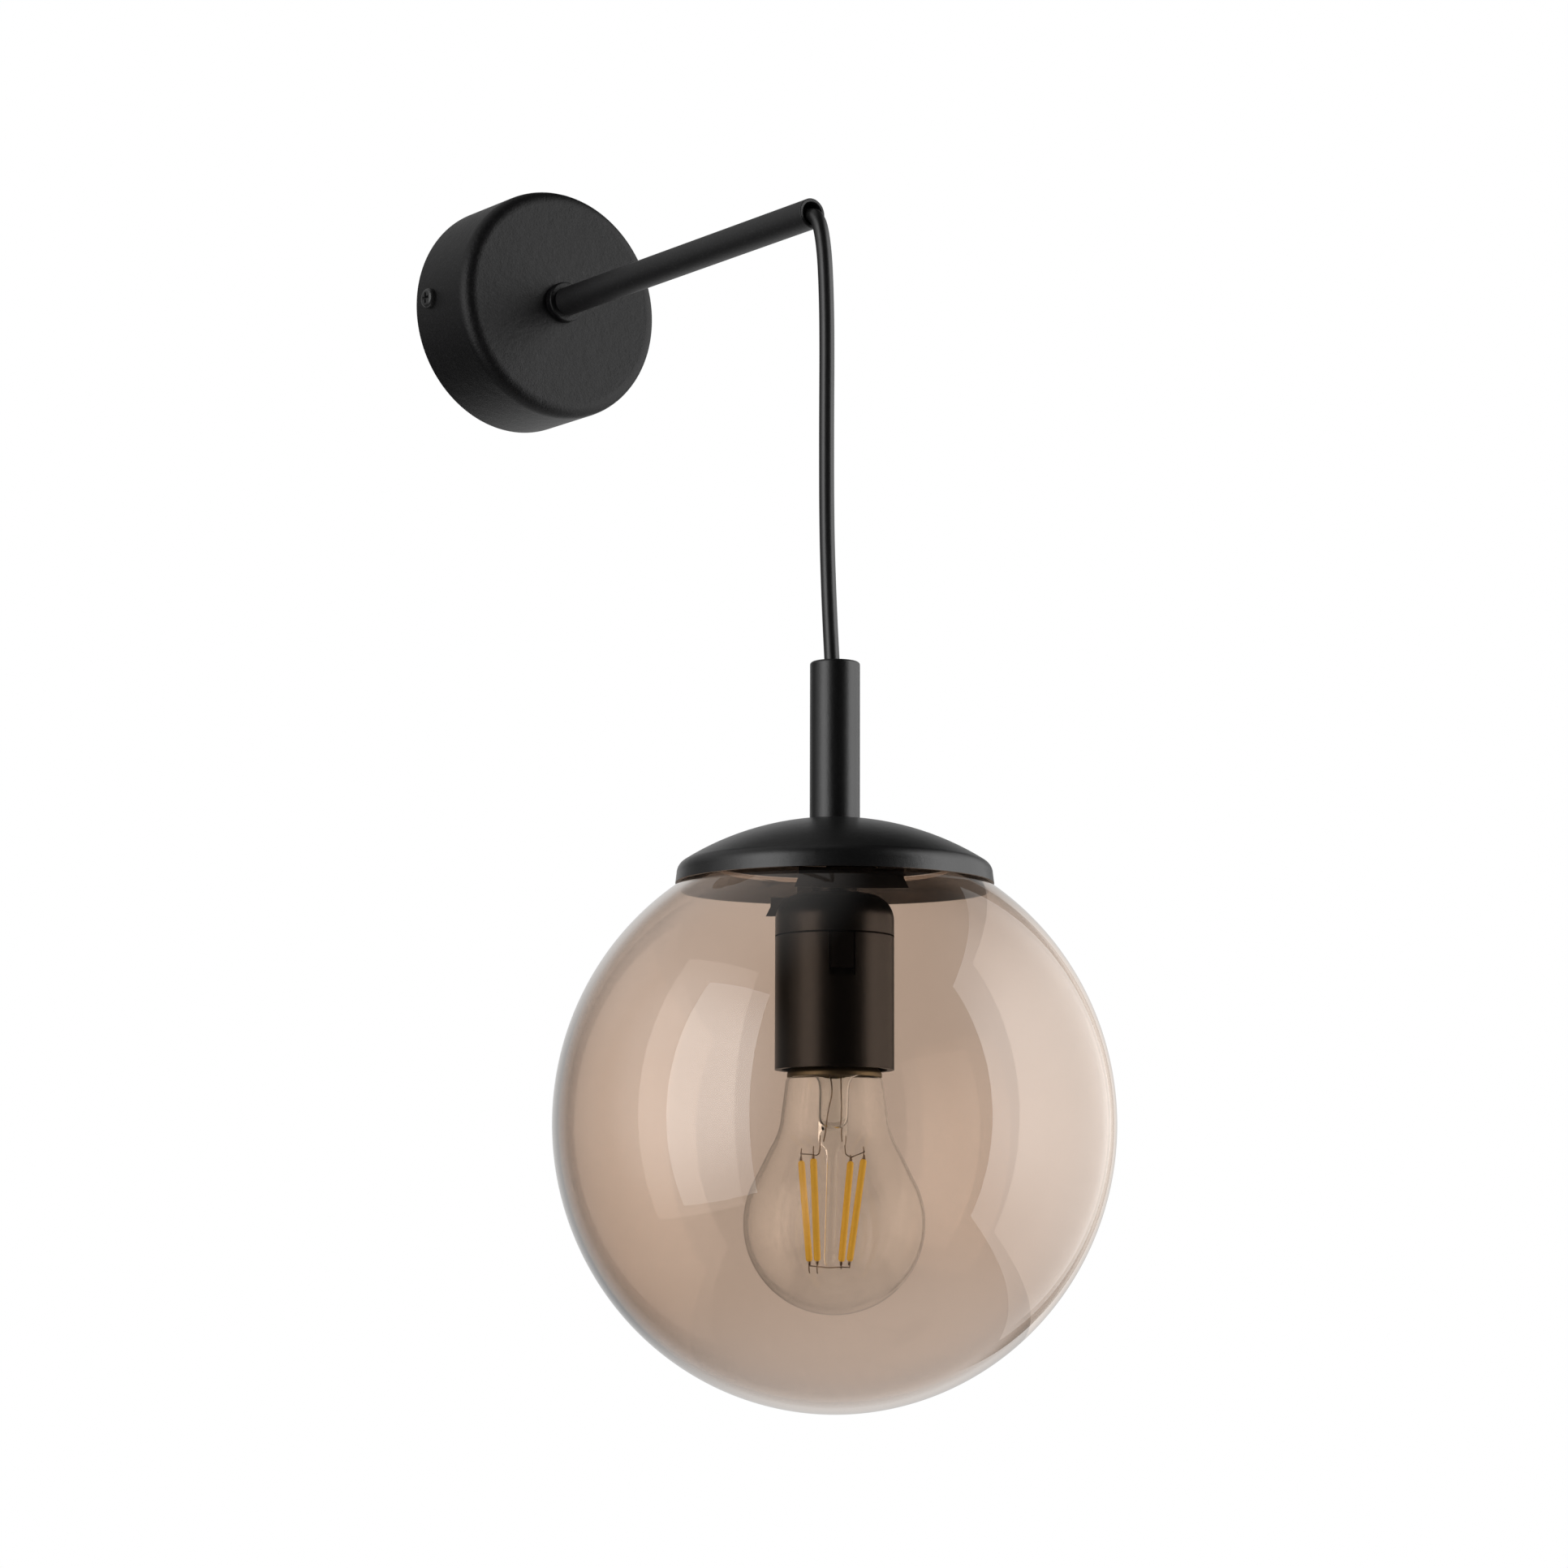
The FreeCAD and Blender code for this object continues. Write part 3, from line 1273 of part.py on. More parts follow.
# Nothing is written until every object is sound
for thing in doc.Objects:
    if "Invalid" in thing.State or "Error" in thing.State:
        raise RuntimeError("%s failed to recompute" % thing.Name)
for node in nodes:
    node.Label = node.Name
    if node.Shape.isNull() or not node.Shape.isValid() or not node.Shape.Solids:
        raise RuntimeError("%s has no sound shape" % node.Name)

os.makedirs("parts", exist_ok=True)
for node in nodes:
    node.Shape.exportStep("parts/%s.step" % node.Label)
print("%d sub-parts written" % len(nodes))
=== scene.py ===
import bpy
import bmesh
import json
import math
from mathutils import Matrix, Vector


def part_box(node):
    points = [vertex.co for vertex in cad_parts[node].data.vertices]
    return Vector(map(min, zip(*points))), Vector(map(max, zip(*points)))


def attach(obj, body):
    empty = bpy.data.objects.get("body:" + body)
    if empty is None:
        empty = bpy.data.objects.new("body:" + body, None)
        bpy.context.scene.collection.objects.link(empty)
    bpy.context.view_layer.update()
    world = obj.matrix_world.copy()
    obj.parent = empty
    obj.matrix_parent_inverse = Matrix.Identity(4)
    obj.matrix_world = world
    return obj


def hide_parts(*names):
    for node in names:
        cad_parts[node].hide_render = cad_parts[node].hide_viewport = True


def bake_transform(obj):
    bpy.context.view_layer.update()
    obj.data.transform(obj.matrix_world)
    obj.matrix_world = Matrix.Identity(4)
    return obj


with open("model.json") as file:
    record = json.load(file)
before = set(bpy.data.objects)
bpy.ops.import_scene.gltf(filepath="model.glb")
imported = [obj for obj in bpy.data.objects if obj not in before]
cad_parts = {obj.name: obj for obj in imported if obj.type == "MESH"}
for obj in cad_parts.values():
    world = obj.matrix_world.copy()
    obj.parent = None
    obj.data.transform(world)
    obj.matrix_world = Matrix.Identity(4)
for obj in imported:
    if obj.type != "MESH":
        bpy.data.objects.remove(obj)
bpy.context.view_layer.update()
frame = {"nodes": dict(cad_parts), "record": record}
nodes = frame["nodes"]
scene = bpy.context.scene
print("frame loaded,", len(nodes), "nodes")

# Camera, at the photograph's place. Angles in degrees, places in metres, lens and film in millimetres
view = {
    "place": (-0.81917, -1.26644, -0.38281),
    "heading": -36.831,  # turn about the upright axis, from straight at the wall
    "tilt": 7.777,       # upwards
    "roll": 0.176,
    "lens": 93.168,
    "film": 36,
    "nearest": 0.01,
    "farthest": 50,
}


def makeCamera(values):
    data = bpy.data.cameras.new("photographView")
    data.lens = values["lens"]
    data.sensor_width = values["film"]
    data.clip_start = values["nearest"]
    data.clip_end = values["farthest"]
    camera = bpy.data.objects.new("photographView", data)
    turn = (Matrix.Rotation(math.radians(values["heading"]), 4, "Z")
            @ Matrix.Rotation(math.radians(90 + values["tilt"]), 4, "X")
            @ Matrix.Rotation(math.radians(values["roll"]), 4, "Z"))
    camera.matrix_world = Matrix.Translation(values["place"]) @ turn
    scene.collection.objects.link(camera)
    scene.camera = camera


makeCamera(view)
scene.view_settings.view_transform = "Standard"


# Node helpers
def addNode(tree, kind, settings=None, inputs=None):
    node = tree.nodes.new(kind)
    for name, value in (settings or {}).items():
        setattr(node, name, value)
    for name, value in (inputs or {}).items():
        if isinstance(value, bpy.types.NodeSocket):
            tree.links.new(value, node.inputs[name])
        else:
            node.inputs[name].default_value = value
    return node


def calculate(tree, operation, first, second=0.0, clamp=False):
    settings = {"operation": operation, "use_clamp": clamp}
    return addNode(tree, "ShaderNodeMath", settings, {0: first, 1: second}).outputs[0]


def dot(tree, vector, direction):
    node = addNode(tree, "ShaderNodeVectorMath", {"operation": "DOT_PRODUCT"}, {0: vector, 1: direction})
    return node.outputs["Value"]


def blendValues(tree, factor, low, high):
    node = addNode(tree, "ShaderNodeMapRange", {"clamp": True},
                   {"Value": factor, "From Min": 0.0, "From Max": 1.0, "To Min": low, "To Max": high})
    return node.outputs[0]


def connect(tree, value, socket):
    # a tuple is a colour
    if isinstance(value, bpy.types.NodeSocket):
        tree.links.new(value, socket)
    else:
        socket.default_value = (*value, 1) if isinstance(value, tuple) else value


def blendColours(tree, factor, low, high):
    node = addNode(tree, "ShaderNodeMix", {"data_type": "RGBA"})
    for index, value in ((0, factor), (6, low), (7, high)):
        connect(tree, value, node.inputs[index])
    return node.outputs[2]


def noise(tree, vector, size, detail=2.0, roughness=0.5, stretch=None):
    # size is the width of one grain in metres, stretch makes grains longer along an axis
    if stretch:
        vector = addNode(tree, "ShaderNodeMapping", None, {"Vector": vector, "Scale": stretch}).outputs[0]
    node = addNode(tree, "ShaderNodeTexNoise", None,
                   {"Vector": vector, "Scale": 1 / size, "Detail": detail, "Roughness": roughness})
    return node.outputs["Fac"]


def sharpen(tree, factor, low, high):
    node = addNode(tree, "ShaderNodeMapRange", {"clamp": True, "interpolation_type": "SMOOTHSTEP"},
                   {"Value": factor, "From Min": low, "From Max": high})
    return node.outputs[0]


def bump(tree, height, depth):
    return addNode(tree, "ShaderNodeBump", None, {"Height": height, "Distance": depth}).outputs[0]


def newMaterial(name):
    material = bpy.data.materials.new(name)
    material.use_nodes = True
    tree = material.node_tree
    shader = tree.nodes["Principled BSDF"]
    place = addNode(tree, "ShaderNodeTexCoord").outputs["Object"]
    return material, tree, shader, place


def feed(tree, shader, **inputs):
    names = {"colour": "Base Color", "roughness": "Roughness", "normal": "Normal", "metal": "Metallic",
             "ior": "IOR", "specular": "Specular IOR Level", "transmission": "Transmission Weight"}
    for name, value in inputs.items():
        connect(tree, value, shader.inputs[names[name]])


# World, floor and lamps. Headings go from straight at the wall towards the right, as seen from the globe
studio = {
    "backdrop": 1.0,      # what the camera sees, also through glass
    "fill": 0.12,         # what lights matt surfaces from all round
    "darkRoom": 0.012,    # what gloss shows away from the lights
    "floorDrop": 0.95,
    "floorRadius": 3.5,
    "floorSides": 96,
    "floorColour": (0.8, 0.8, 0.8),
    "floorRoughness": 0.9,
    "floorShine": 0.1,
    "floorGlow": 0.6,     # keeps the floor pale where it is seen, without lighting the lamp
    "middle": (0, -0.201, -0.313),
    "gapHeading": 64,     # dark upright gap between the backdrop and the right lamp
    "gapWidth": 12,
    "gapAhead": 0.5,      # keeps the gap off the opposite side
    "gapFoot": (-0.55, -0.35),  # heights between which the gap ends, on a sphere of radius 1
}
roomGlows = [  # pale parts of the room that gloss shows, with the angles where each is full and gone
    {"heading": 37, "rise": -2, "full": 24, "gone": 44, "glow": 0.52},    # the backdrop
    {"heading": 5, "rise": 12, "full": 10, "gone": 50, "glow": 0.25},     # and its left part
    {"heading": -80, "rise": 12, "full": 10, "gone": 46, "glow": 1.1},    # around the left lamp
    {"heading": 118, "rise": 14, "full": 24, "gone": 54, "glow": 0.5},    # around the right lamp
    {"heading": -40, "rise": 55, "full": 5, "gone": 45, "glow": 0.5},     # upper left
    {"heading": 70, "rise": -62, "full": 15, "gone": 62, "glow": 0.7},    # the pale floor
]
softboxes = [  # fade is how much of the glow is left at the wall's side of the lamp, dim at its top and foot
    {"name": "leftStrip", "heading": -92, "rise": 14, "distance": 1.25, "width": 0.78, "height": 1.9,
     "glow": 3.0, "fade": 0.9, "dim": 0.5},
    {"name": "rightPanel", "heading": 111, "rise": 14, "distance": 1.25, "width": 2.22, "height": 2.6,
     "glow": 3.4, "fade": 0.24, "dim": 0.55},
]
fading = {"side": (0.1, 0.75), "end": (0.1, 0.5)}  # shares of the width, and of the height from the middle


def outwards(heading, rise):
    heading, rise = math.radians(heading), math.radians(rise)
    return Vector((math.sin(heading) * math.cos(rise), math.cos(heading) * math.cos(rise), math.sin(rise)))


def makeWorld(values, glows):
    world = bpy.data.worlds.new("studioWorld")
    scene.world = world
    world.use_nodes = True
    world.cycles.sampling_method = "NONE"
    tree = world.node_tree
    background = tree.nodes["Background"]
    path = addNode(tree, "ShaderNodeLightPath").outputs
    lookout = addNode(tree, "ShaderNodeTexCoord").outputs["Generated"]
    room = values["darkRoom"]
    for glow in glows:
        towards = dot(tree, lookout, outwards(glow["heading"], glow["rise"]))
        gone, full = [math.cos(math.radians(glow[key])) for key in ("gone", "full")]
        near = sharpen(tree, towards, gone, full)
        room = calculate(tree, "ADD", room, calculate(tree, "MULTIPLY", near, glow["glow"]))
    sideways, ahead = [dot(tree, lookout, outwards(values["gapHeading"] + turn, 0)) for turn in (90, 0)]
    gap = calculate(tree, "LESS_THAN", calculate(tree, "ABSOLUTE", sideways),
                    math.sin(math.radians(values["gapWidth"] / 2)))
    gap = calculate(tree, "MULTIPLY", gap, calculate(tree, "GREATER_THAN", ahead, values["gapAhead"]))
    height = addNode(tree, "ShaderNodeSeparateXYZ", None, {0: lookout}).outputs[2]
    gap = calculate(tree, "MULTIPLY", gap, sharpen(tree, height, *values["gapFoot"]))
    room = calculate(tree, "MULTIPLY", room, calculate(tree, "SUBTRACT", 1.0, gap))
    matt = calculate(tree, "GREATER_THAN", path["Diffuse Depth"], 0.5)
    gloss = calculate(tree, "MULTIPLY", path["Is Glossy Ray"], calculate(tree, "SUBTRACT", 1.0, matt))
    light = blendValues(tree, gloss, values["fill"], room)
    bounces = calculate(tree, "ADD", path["Diffuse Depth"], path["Glossy Depth"])
    direct = calculate(tree, "LESS_THAN", bounces, 0.5)
    seen = calculate(tree, "ADD", path["Is Camera Ray"], path["Is Transmission Ray"], clamp=True)
    seen = calculate(tree, "MULTIPLY", seen, direct)
    background.inputs["Color"].default_value = (1, 1, 1, 1)
    tree.links.new(blendValues(tree, seen, light, values["backdrop"]), background.inputs["Strength"])


def makeFloor(values):
    mesh = bpy.data.meshes.new("floorDisc")
    shape = bmesh.new()
    bmesh.ops.create_circle(shape, cap_ends=True, radius=values["floorRadius"], segments=values["floorSides"])
    bmesh.ops.translate(shape, verts=shape.verts, vec=(0, 0, -values["floorDrop"]))
    shape.to_mesh(mesh)
    shape.free()
    floor = bpy.data.objects.new("floorDisc", mesh)
    scene.collection.objects.link(floor)
    material, tree, shader, place = newMaterial("paleFloor")
    feed(tree, shader, colour=values["floorColour"], roughness=values["floorRoughness"],
         specular=values["floorShine"])
    path = addNode(tree, "ShaderNodeLightPath").outputs
    seen = calculate(tree, "ADD", path["Is Camera Ray"], path["Is Transmission Ray"], clamp=True)
    shader.inputs["Emission Color"].default_value = (1, 1, 1, 1)
    tree.links.new(calculate(tree, "MULTIPLY", seen, values["floorGlow"]), shader.inputs["Emission Strength"])
    mesh.materials.append(material)
    floor.visible_glossy = False


def makeSoftbox(values, middle):
    light = bpy.data.lights.new(values["name"], "AREA")
    light.shape = "RECTANGLE"
    light.size = values["width"]
    light.size_y = values["height"]
    light.energy = values["glow"] * math.pi * values["width"] * values["height"]
    light.use_nodes = True
    tree = light.node_tree
    path = addNode(tree, "ShaderNodeLightPath").outputs
    straight = calculate(tree, "LESS_THAN", path["Glossy Depth"], 0.5)
    through = calculate(tree, "MULTIPLY", path["Is Transmission Ray"], straight)
    across = addNode(tree, "ShaderNodeSeparateXYZ", None,
                     {0: addNode(tree, "ShaderNodeNewGeometry").outputs["Parametric"]}).outputs
    wallSide = across[0] if values["heading"] > 0 else calculate(tree, "SUBTRACT", 1.0, across[0])
    glow = blendValues(tree, sharpen(tree, wallSide, *fading["side"]), 1.0, values["fade"])
    high = calculate(tree, "ABSOLUTE", calculate(tree, "SUBTRACT", across[1], 0.5))
    dimmed = blendValues(tree, sharpen(tree, high, *fading["end"]), 1.0, values["dim"])
    glow = calculate(tree, "MULTIPLY", glow, dimmed)
    tree.links.new(calculate(tree, "MULTIPLY", glow, calculate(tree, "SUBTRACT", 1.0, through)),
                   tree.nodes["Emission"].inputs["Strength"])
    lamp = bpy.data.objects.new(values["name"], light)
    outward = outwards(values["heading"], values["rise"])
    flat = Vector((outward.x, outward.y, 0)).normalized()
    lamp.matrix_world = (Matrix.Translation(Vector(middle) + outward * values["distance"])
                         @ flat.to_track_quat("Z", "Y").to_matrix().to_4x4())
    lamp.visible_camera = False
    scene.collection.objects.link(lamp)


makeWorld(studio, roomGlows)
makeFloor(studio)
for softbox in softboxes:
    makeSoftbox(softbox, studio["middle"])
print("camera, world, floor and", len(softboxes), "lamps ready")

# Cable, from inside the arm to inside the stem tube
cable = {
    "route": [  # distance beyond the arm's tip, and height
        (-0.0120, 0.0),
        (-0.0003, 0.0),
        (0.0036, -0.0033),
        (0.00575, -0.0099),
        (0.00735, -0.0205),
        (0.00835, -0.0420),
        (0.0081, -0.0780),
        (0.0083, -0.1120),
        (0.0097, -0.1380),
        (0.0116, -0.1605),
        (0.0130, -0.1760),
        (0.0130, -0.1876),
    ],
    "diameter": 0.0052,
    "length": 0.2014,
    "sides": 24,
    "stepsPerPoint": 16,
    "bendStart": (0, -0.1938, -0.0125),
    "bendEnd": (0, -0.1960, -0.0290),
}


def makeCable(values):
    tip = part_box("arm_tube")[0].y
    points = [(0, tip - out, height) for out, height in values["route"]]
    curve = bpy.data.curves.new("cableRoute", "CURVE")
    curve.dimensions = "3D"
    spline = curve.splines.new("NURBS")
    spline.points.add(len(points) - 1)
    for knot, point in zip(spline.points, points):
        knot.co = (*point, 1)
    spline.order_u = 3
    spline.use_endpoint_u = True
    spline.resolution_u = values["stepsPerPoint"]
    guide = bpy.data.objects.new("cableRoute", curve)
    scene.collection.objects.link(guide)
    bpy.context.view_layer.update()
    line = bpy.data.meshes.new_from_object(guide.evaluated_get(bpy.context.evaluated_depsgraph_get()))
    path = [vertex.co.copy() for vertex in line.vertices]
    bpy.data.objects.remove(guide)
    bpy.data.meshes.remove(line)

    sides = values["sides"]
    radius = values["diameter"] / 2
    shape = bmesh.new()
    layer = shape.loops.layers.uv.new("alongCable")
    rings = []
    reached = [0.0]
    for index, point in enumerate(path):
        before, after = path[max(index - 1, 0)], path[min(index + 1, len(path) - 1)]
        forward = (after - before).normalized()
        side = Vector((1, 0, 0))
        lift = side.cross(forward)
        if index:
            reached.append(reached[-1] + (point - path[index - 1]).length)
        rings.append([shape.verts.new(point + radius * (side * math.cos(turn) + lift * math.sin(turn)))
                      for turn in (2 * math.pi * step / sides for step in range(sides))])
    for index in range(len(path) - 1):
        for step in range(sides):
            onward = (step + 1) % sides
            face = shape.faces.new((rings[index][step], rings[index][onward],
                                    rings[index + 1][onward], rings[index + 1][step]))
            face.smooth = True
            across = (step / sides, (step + 1) / sides, (step + 1) / sides, step / sides)
            lengthwise = (reached[index], reached[index], reached[index + 1], reached[index + 1])
            for loop, u, v in zip(face.loops, across, lengthwise):
                loop[layer].uv = (u, v)
    shape.faces.new(rings[0][::-1])
    shape.faces.new(rings[-1])
    bmesh.ops.recalc_face_normals(shape, faces=shape.faces)
    mesh = bpy.data.meshes.new("hanging_cable")
    shape.to_mesh(mesh)
    shape.free()
    piece = bpy.data.objects.new("hanging_cable", mesh)
    scene.collection.objects.link(piece)
    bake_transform(piece)
    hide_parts("cable_bend", "cable_drop")
    print("cable", round(reached[-1] * 1000, 1), "mm")
    return piece


hangingCable = makeCable(cable)


# Finishes. smooth and rough are the lowest and the highest roughness, sizes are in metres
powder = {"dark": (0.0026, 0.0025, 0.0028), "pale": (0.0075, 0.0073, 0.0078), "grain": 0.0007,
          "wave": 0.004, "depth": 0.00012, "smooth": 0.38, "rough": 0.5, "shine": 0.24}
satinPaint = {"dark": (0.0022, 0.0022, 0.0023), "pale": (0.0058, 0.0057, 0.0059), "grain": 0.00045,
              "wave": 0.003, "depth": 0.00004, "smooth": 0.29, "rough": 0.4, "shine": 0.48}
armPaint = {"dark": (0.007, 0.0069, 0.0073), "pale": (0.016, 0.0158, 0.0165), "grain": 0.00045,
            "wave": 0.003, "depth": 0.00004, "smooth": 0.42, "rough": 0.56, "shine": 0.4}
speckles = {"size": 1.7, "limits": (0.5, 0.72), "waves": 1.2}  # size and waves beside the grain's


def powderCoat(name, values):
    material, tree, shader, place = newMaterial(name)
    grain = noise(tree, place, values["grain"], 3, 0.6)
    spots = noise(tree, place, values["grain"] * speckles["size"], 2, 0.6)
    speckle = sharpen(tree, spots, *speckles["limits"])
    wave = noise(tree, place, values["wave"], 2)
    height = calculate(tree, "ADD", grain, calculate(tree, "MULTIPLY", wave, speckles["waves"]))
    feed(tree, shader, colour=blendColours(tree, speckle, values["dark"], values["pale"]),
         specular=values["shine"], roughness=blendValues(tree, grain, values["smooth"], values["rough"]),
         normal=bump(tree, height, values["depth"]))
    return material


cableSheath = {"dark": (0.004, 0.004, 0.0042), "pale": (0.008, 0.008, 0.008), "grain": 0.0006,
               "stretch": (1, 1, 0.12), "smooth": 0.3, "rough": 0.4, "depth": 0.00001}


def cableRubber(values):
    material, tree, shader, place = newMaterial("blackCableSheath")
    streak = noise(tree, place, values["grain"], 2, 0.5, values["stretch"])
    feed(tree, shader, colour=blendColours(tree, streak, values["dark"], values["pale"]),
         roughness=blendValues(tree, streak, values["smooth"], values["rough"]),
         normal=bump(tree, streak, values["depth"]))
    return material


# A glass keeps the share of light in "tint" for each wall that the light goes through
smoked = {"tint": (0.69, 0.59, 0.515), "thin": (0.70, 0.60, 0.525), "cloud": 0.06, "ior": 1.5}
stemGlass = {"tint": (0.96, 0.965, 0.955), "thin": (0.98, 0.985, 0.975), "cloud": 0.01, "ior": 1.3}
clearGlass = {"tint": (0.975, 0.975, 0.965), "thin": (0.985, 0.985, 0.975), "cloud": 0.03, "ior": 1.4}


def glass(name, values):
    material, tree, shader, place = newMaterial(name)
    drawn = noise(tree, place, values["cloud"], 1)
    feed(tree, shader, colour=blendColours(tree, drawn, values["tint"], values["thin"]), roughness=0.0,
         ior=values["ior"], transmission=1.0)
    path = addNode(tree, "ShaderNodeLightPath").outputs
    surface = [share ** 0.5 for share in values["tint"]]
    clear = addNode(tree, "ShaderNodeBsdfTransparent", None, {"Color": (*surface, 1)})
    bounces = calculate(tree, "ADD", path["Diffuse Depth"], path["Glossy Depth"])
    bounced = calculate(tree, "GREATER_THAN", bounces, 0.5)
    lighting = calculate(tree, "MAXIMUM", path["Is Shadow Ray"], bounced)
    mix = addNode(tree, "ShaderNodeMixShader", None, {0: lighting, 1: shader.outputs[0], 2: clear.outputs[0]})
    tree.links.new(mix.outputs[0], tree.nodes["Material Output"].inputs["Surface"])
    return material


moulded = {"dark": (0.003, 0.0027, 0.0026), "pale": (0.0046, 0.0042, 0.004), "grain": 0.0012,
           "depth": 0.00001}
jointLine = {"edge": (0.0002, 0.0004), "shine": 0.5}


def mouldedPlastic(name, values, smooth, rough, glow=0.0, joint=None):
    # joint is the object's own height of a dark line round it
    material, tree, shader, place = newMaterial(name)
    cloud = noise(tree, place, values["grain"], 3, 0.55)
    colour = blendColours(tree, cloud, values["dark"], values["pale"])
    feed(tree, shader, colour=colour, roughness=blendValues(tree, cloud, smooth, rough),
         normal=bump(tree, cloud, values["depth"]))
    if joint is not None:
        height = addNode(tree, "ShaderNodeSeparateXYZ", None, {0: place}).outputs[2]
        away = calculate(tree, "ABSOLUTE", calculate(tree, "SUBTRACT", height, joint))
        away = sharpen(tree, away, *jointLine["edge"])
        feed(tree, shader, specular=blendValues(tree, away, 0.0, jointLine["shine"]))
    # glow is a painted glow: the surface gives off its own colour as light, though the piece is no lamp
    if glow:
        tree.links.new(colour, shader.inputs["Emission Color"])
        shader.inputs["Emission Strength"].default_value = glow
    return material


metalSurface = {"grain": 0.0008, "stain": 0.006, "depth": 0.00001}


def satinMetal(name, dark, pale, smooth, rough):
    material, tree, shader, place = newMaterial(name)
    brushed = noise(tree, place, metalSurface["grain"], 4, 0.6)
    stain = noise(tree, place, metalSurface["stain"], 2)
    mixed = calculate(tree, "MULTIPLY", calculate(tree, "ADD", brushed, stain), 0.5)
    feed(tree, shader, colour=blendColours(tree, mixed, dark, pale), metal=1.0,
         roughness=blendValues(tree, brushed, smooth, rough),
         normal=bump(tree, brushed, metalSurface["depth"]))
    return material


coreStripe = {"facing": (0.3, 0.6, 0.74), "scuff": 0.06, "scuffSize": 0.0005, "edge": (0.33, 0.4),
              "grain": 0.001, "smooth": 0.35, "rough": 0.45}


def stripedCore(name, main, stripe, values):
    material, tree, shader, place = newMaterial(name)
    facing = dot(tree, addNode(tree, "ShaderNodeTexCoord").outputs["Normal"], values["facing"])
    scuff = calculate(tree, "MULTIPLY", noise(tree, place, values["scuffSize"]), values["scuff"])
    striped = sharpen(tree, calculate(tree, "ADD", facing, scuff), *values["edge"])
    feed(tree, shader, colour=blendColours(tree, striped, main, stripe),
         roughness=blendValues(tree, noise(tree, place, values["grain"]), values["smooth"], values["rough"]))
    return material


def plain(dark, pale, grain, depth=0.00001):
    return {"dark": dark, "pale": pale, "grain": grain, "depth": depth}


finishes = {
    "black_powder_coat": powderCoat("blackPowderCoat", powder),
    "black_screws": mouldedPlastic("blackScrewPaint", plain((0.01, 0.01, 0.01), (0.022, 0.022, 0.022),
                                                            0.0004), 0.26, 0.4),
    "plated_steel": satinMetal("zincPlatedSteel", (0.42, 0.42, 0.41), (0.68, 0.68, 0.67), 0.28, 0.5),
    "spring_steel": satinMetal("darkSpringSteel", (0.12, 0.115, 0.11), (0.24, 0.23, 0.22), 0.3, 0.45),
    "brass": satinMetal("bareBrass", (0.62, 0.46, 0.2), (0.8, 0.63, 0.32), 0.22, 0.4),
    "cable_black": cableRubber(cableSheath),
    "core_brown": mouldedPlastic("brownCore", plain((0.09, 0.035, 0.015), (0.13, 0.05, 0.022), 0.001),
                                 0.35, 0.45),
    "core_blue": mouldedPlastic("blueCore", plain((0.02, 0.09, 0.38), (0.03, 0.13, 0.48), 0.001), 0.35, 0.45),
    "core_green_yellow": stripedCore("earthCore", (0.07, 0.3, 0.03), (0.8, 0.62, 0.03), coreStripe),
    "block_white": mouldedPlastic("whiteTerminalPlastic", plain((0.66, 0.65, 0.6), (0.74, 0.73, 0.68), 0.0015,
                                                                0.00002), 0.4, 0.55),
    "smoked_glass": glass("smokedGlass", smoked),
    "clear_glass": glass("clearBulbGlass", clearGlass),
    "holder_black": mouldedPlastic("blackHolderPlastic", moulded, 0.27, 0.36),
    "cap_metal": satinMetal("pressedCapMetal", (0.16, 0.135, 0.085), (0.28, 0.24, 0.16), 0.42, 0.58),
    "insulator_black": mouldedPlastic("blackCapGlass", plain((0.01, 0.008, 0.01), (0.03, 0.025, 0.03), 0.002,
                                                             0.00002), 0.12, 0.2),
    # the light sticks get a painted glow of their own yellow, though the bulb is unlit
    "filament_yellow": mouldedPlastic("yellowPhosphorPaintedGlow", plain((0.86, 0.5, 0.045), (0.95, 0.62, 0.085), 0.0011,
                                                              0.00004), 0.4, 0.55, 0.3),
    "wire_metal": satinMetal("drawnWire", (0.22, 0.17, 0.13), (0.42, 0.34, 0.27), 0.25, 0.4),
    "board_white": mouldedPlastic("driverBoard", plain((0.6, 0.63, 0.58), (0.7, 0.72, 0.68), 0.0015),
                                  0.4, 0.5),
}

# Nodes whose look differs from the rest of their slot
otherPaints = {"stem_tube": powderCoat("satinBlackPaint", satinPaint),
               "arm_tube": powderCoat("armBlackPaint", armPaint)}
otherPaints["cap_dome"] = otherPaints["stem_tube"]
for name in ("lampholder_skirt", "lampholder_dome"):
    joint = nodes[name].matrix_world.inverted() @ Vector((0, 0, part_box("lampholder_skirt")[1].z))
    otherPaints[name] = mouldedPlastic(name + "Plastic", moulded, 0.29, 0.38, 0.0, joint.z)

for part in frame["record"]["subparts"]:
    node = nodes[part["node"]]
    node.data.materials.clear()
    node.data.materials.append(finishes[part["material_slot"]])
for name, paint in otherPaints.items():
    nodes[name].data.materials[0] = paint
hangingCable.data.materials.append(finishes["cable_black"])
print(len(finishes), "finishes on", len(nodes), "nodes")


# Turned and drawn pieces
def finishPiece(name, shape, body, slot, *replaced):
    mesh = bpy.data.meshes.new(name)
    shape.to_mesh(mesh)
    shape.free()
    return settle(bpy.data.objects.new(name, mesh), body, slot, *replaced)


def settle(piece, body, slot, *replaced):
    if piece.name not in scene.collection.objects:
        scene.collection.objects.link(piece)
    piece.data.materials.clear()
    piece.data.materials.append(finishes[slot])
    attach(piece, body)
    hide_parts(*replaced)
    print(piece.name, len(piece.data.polygons), "faces")
    return piece


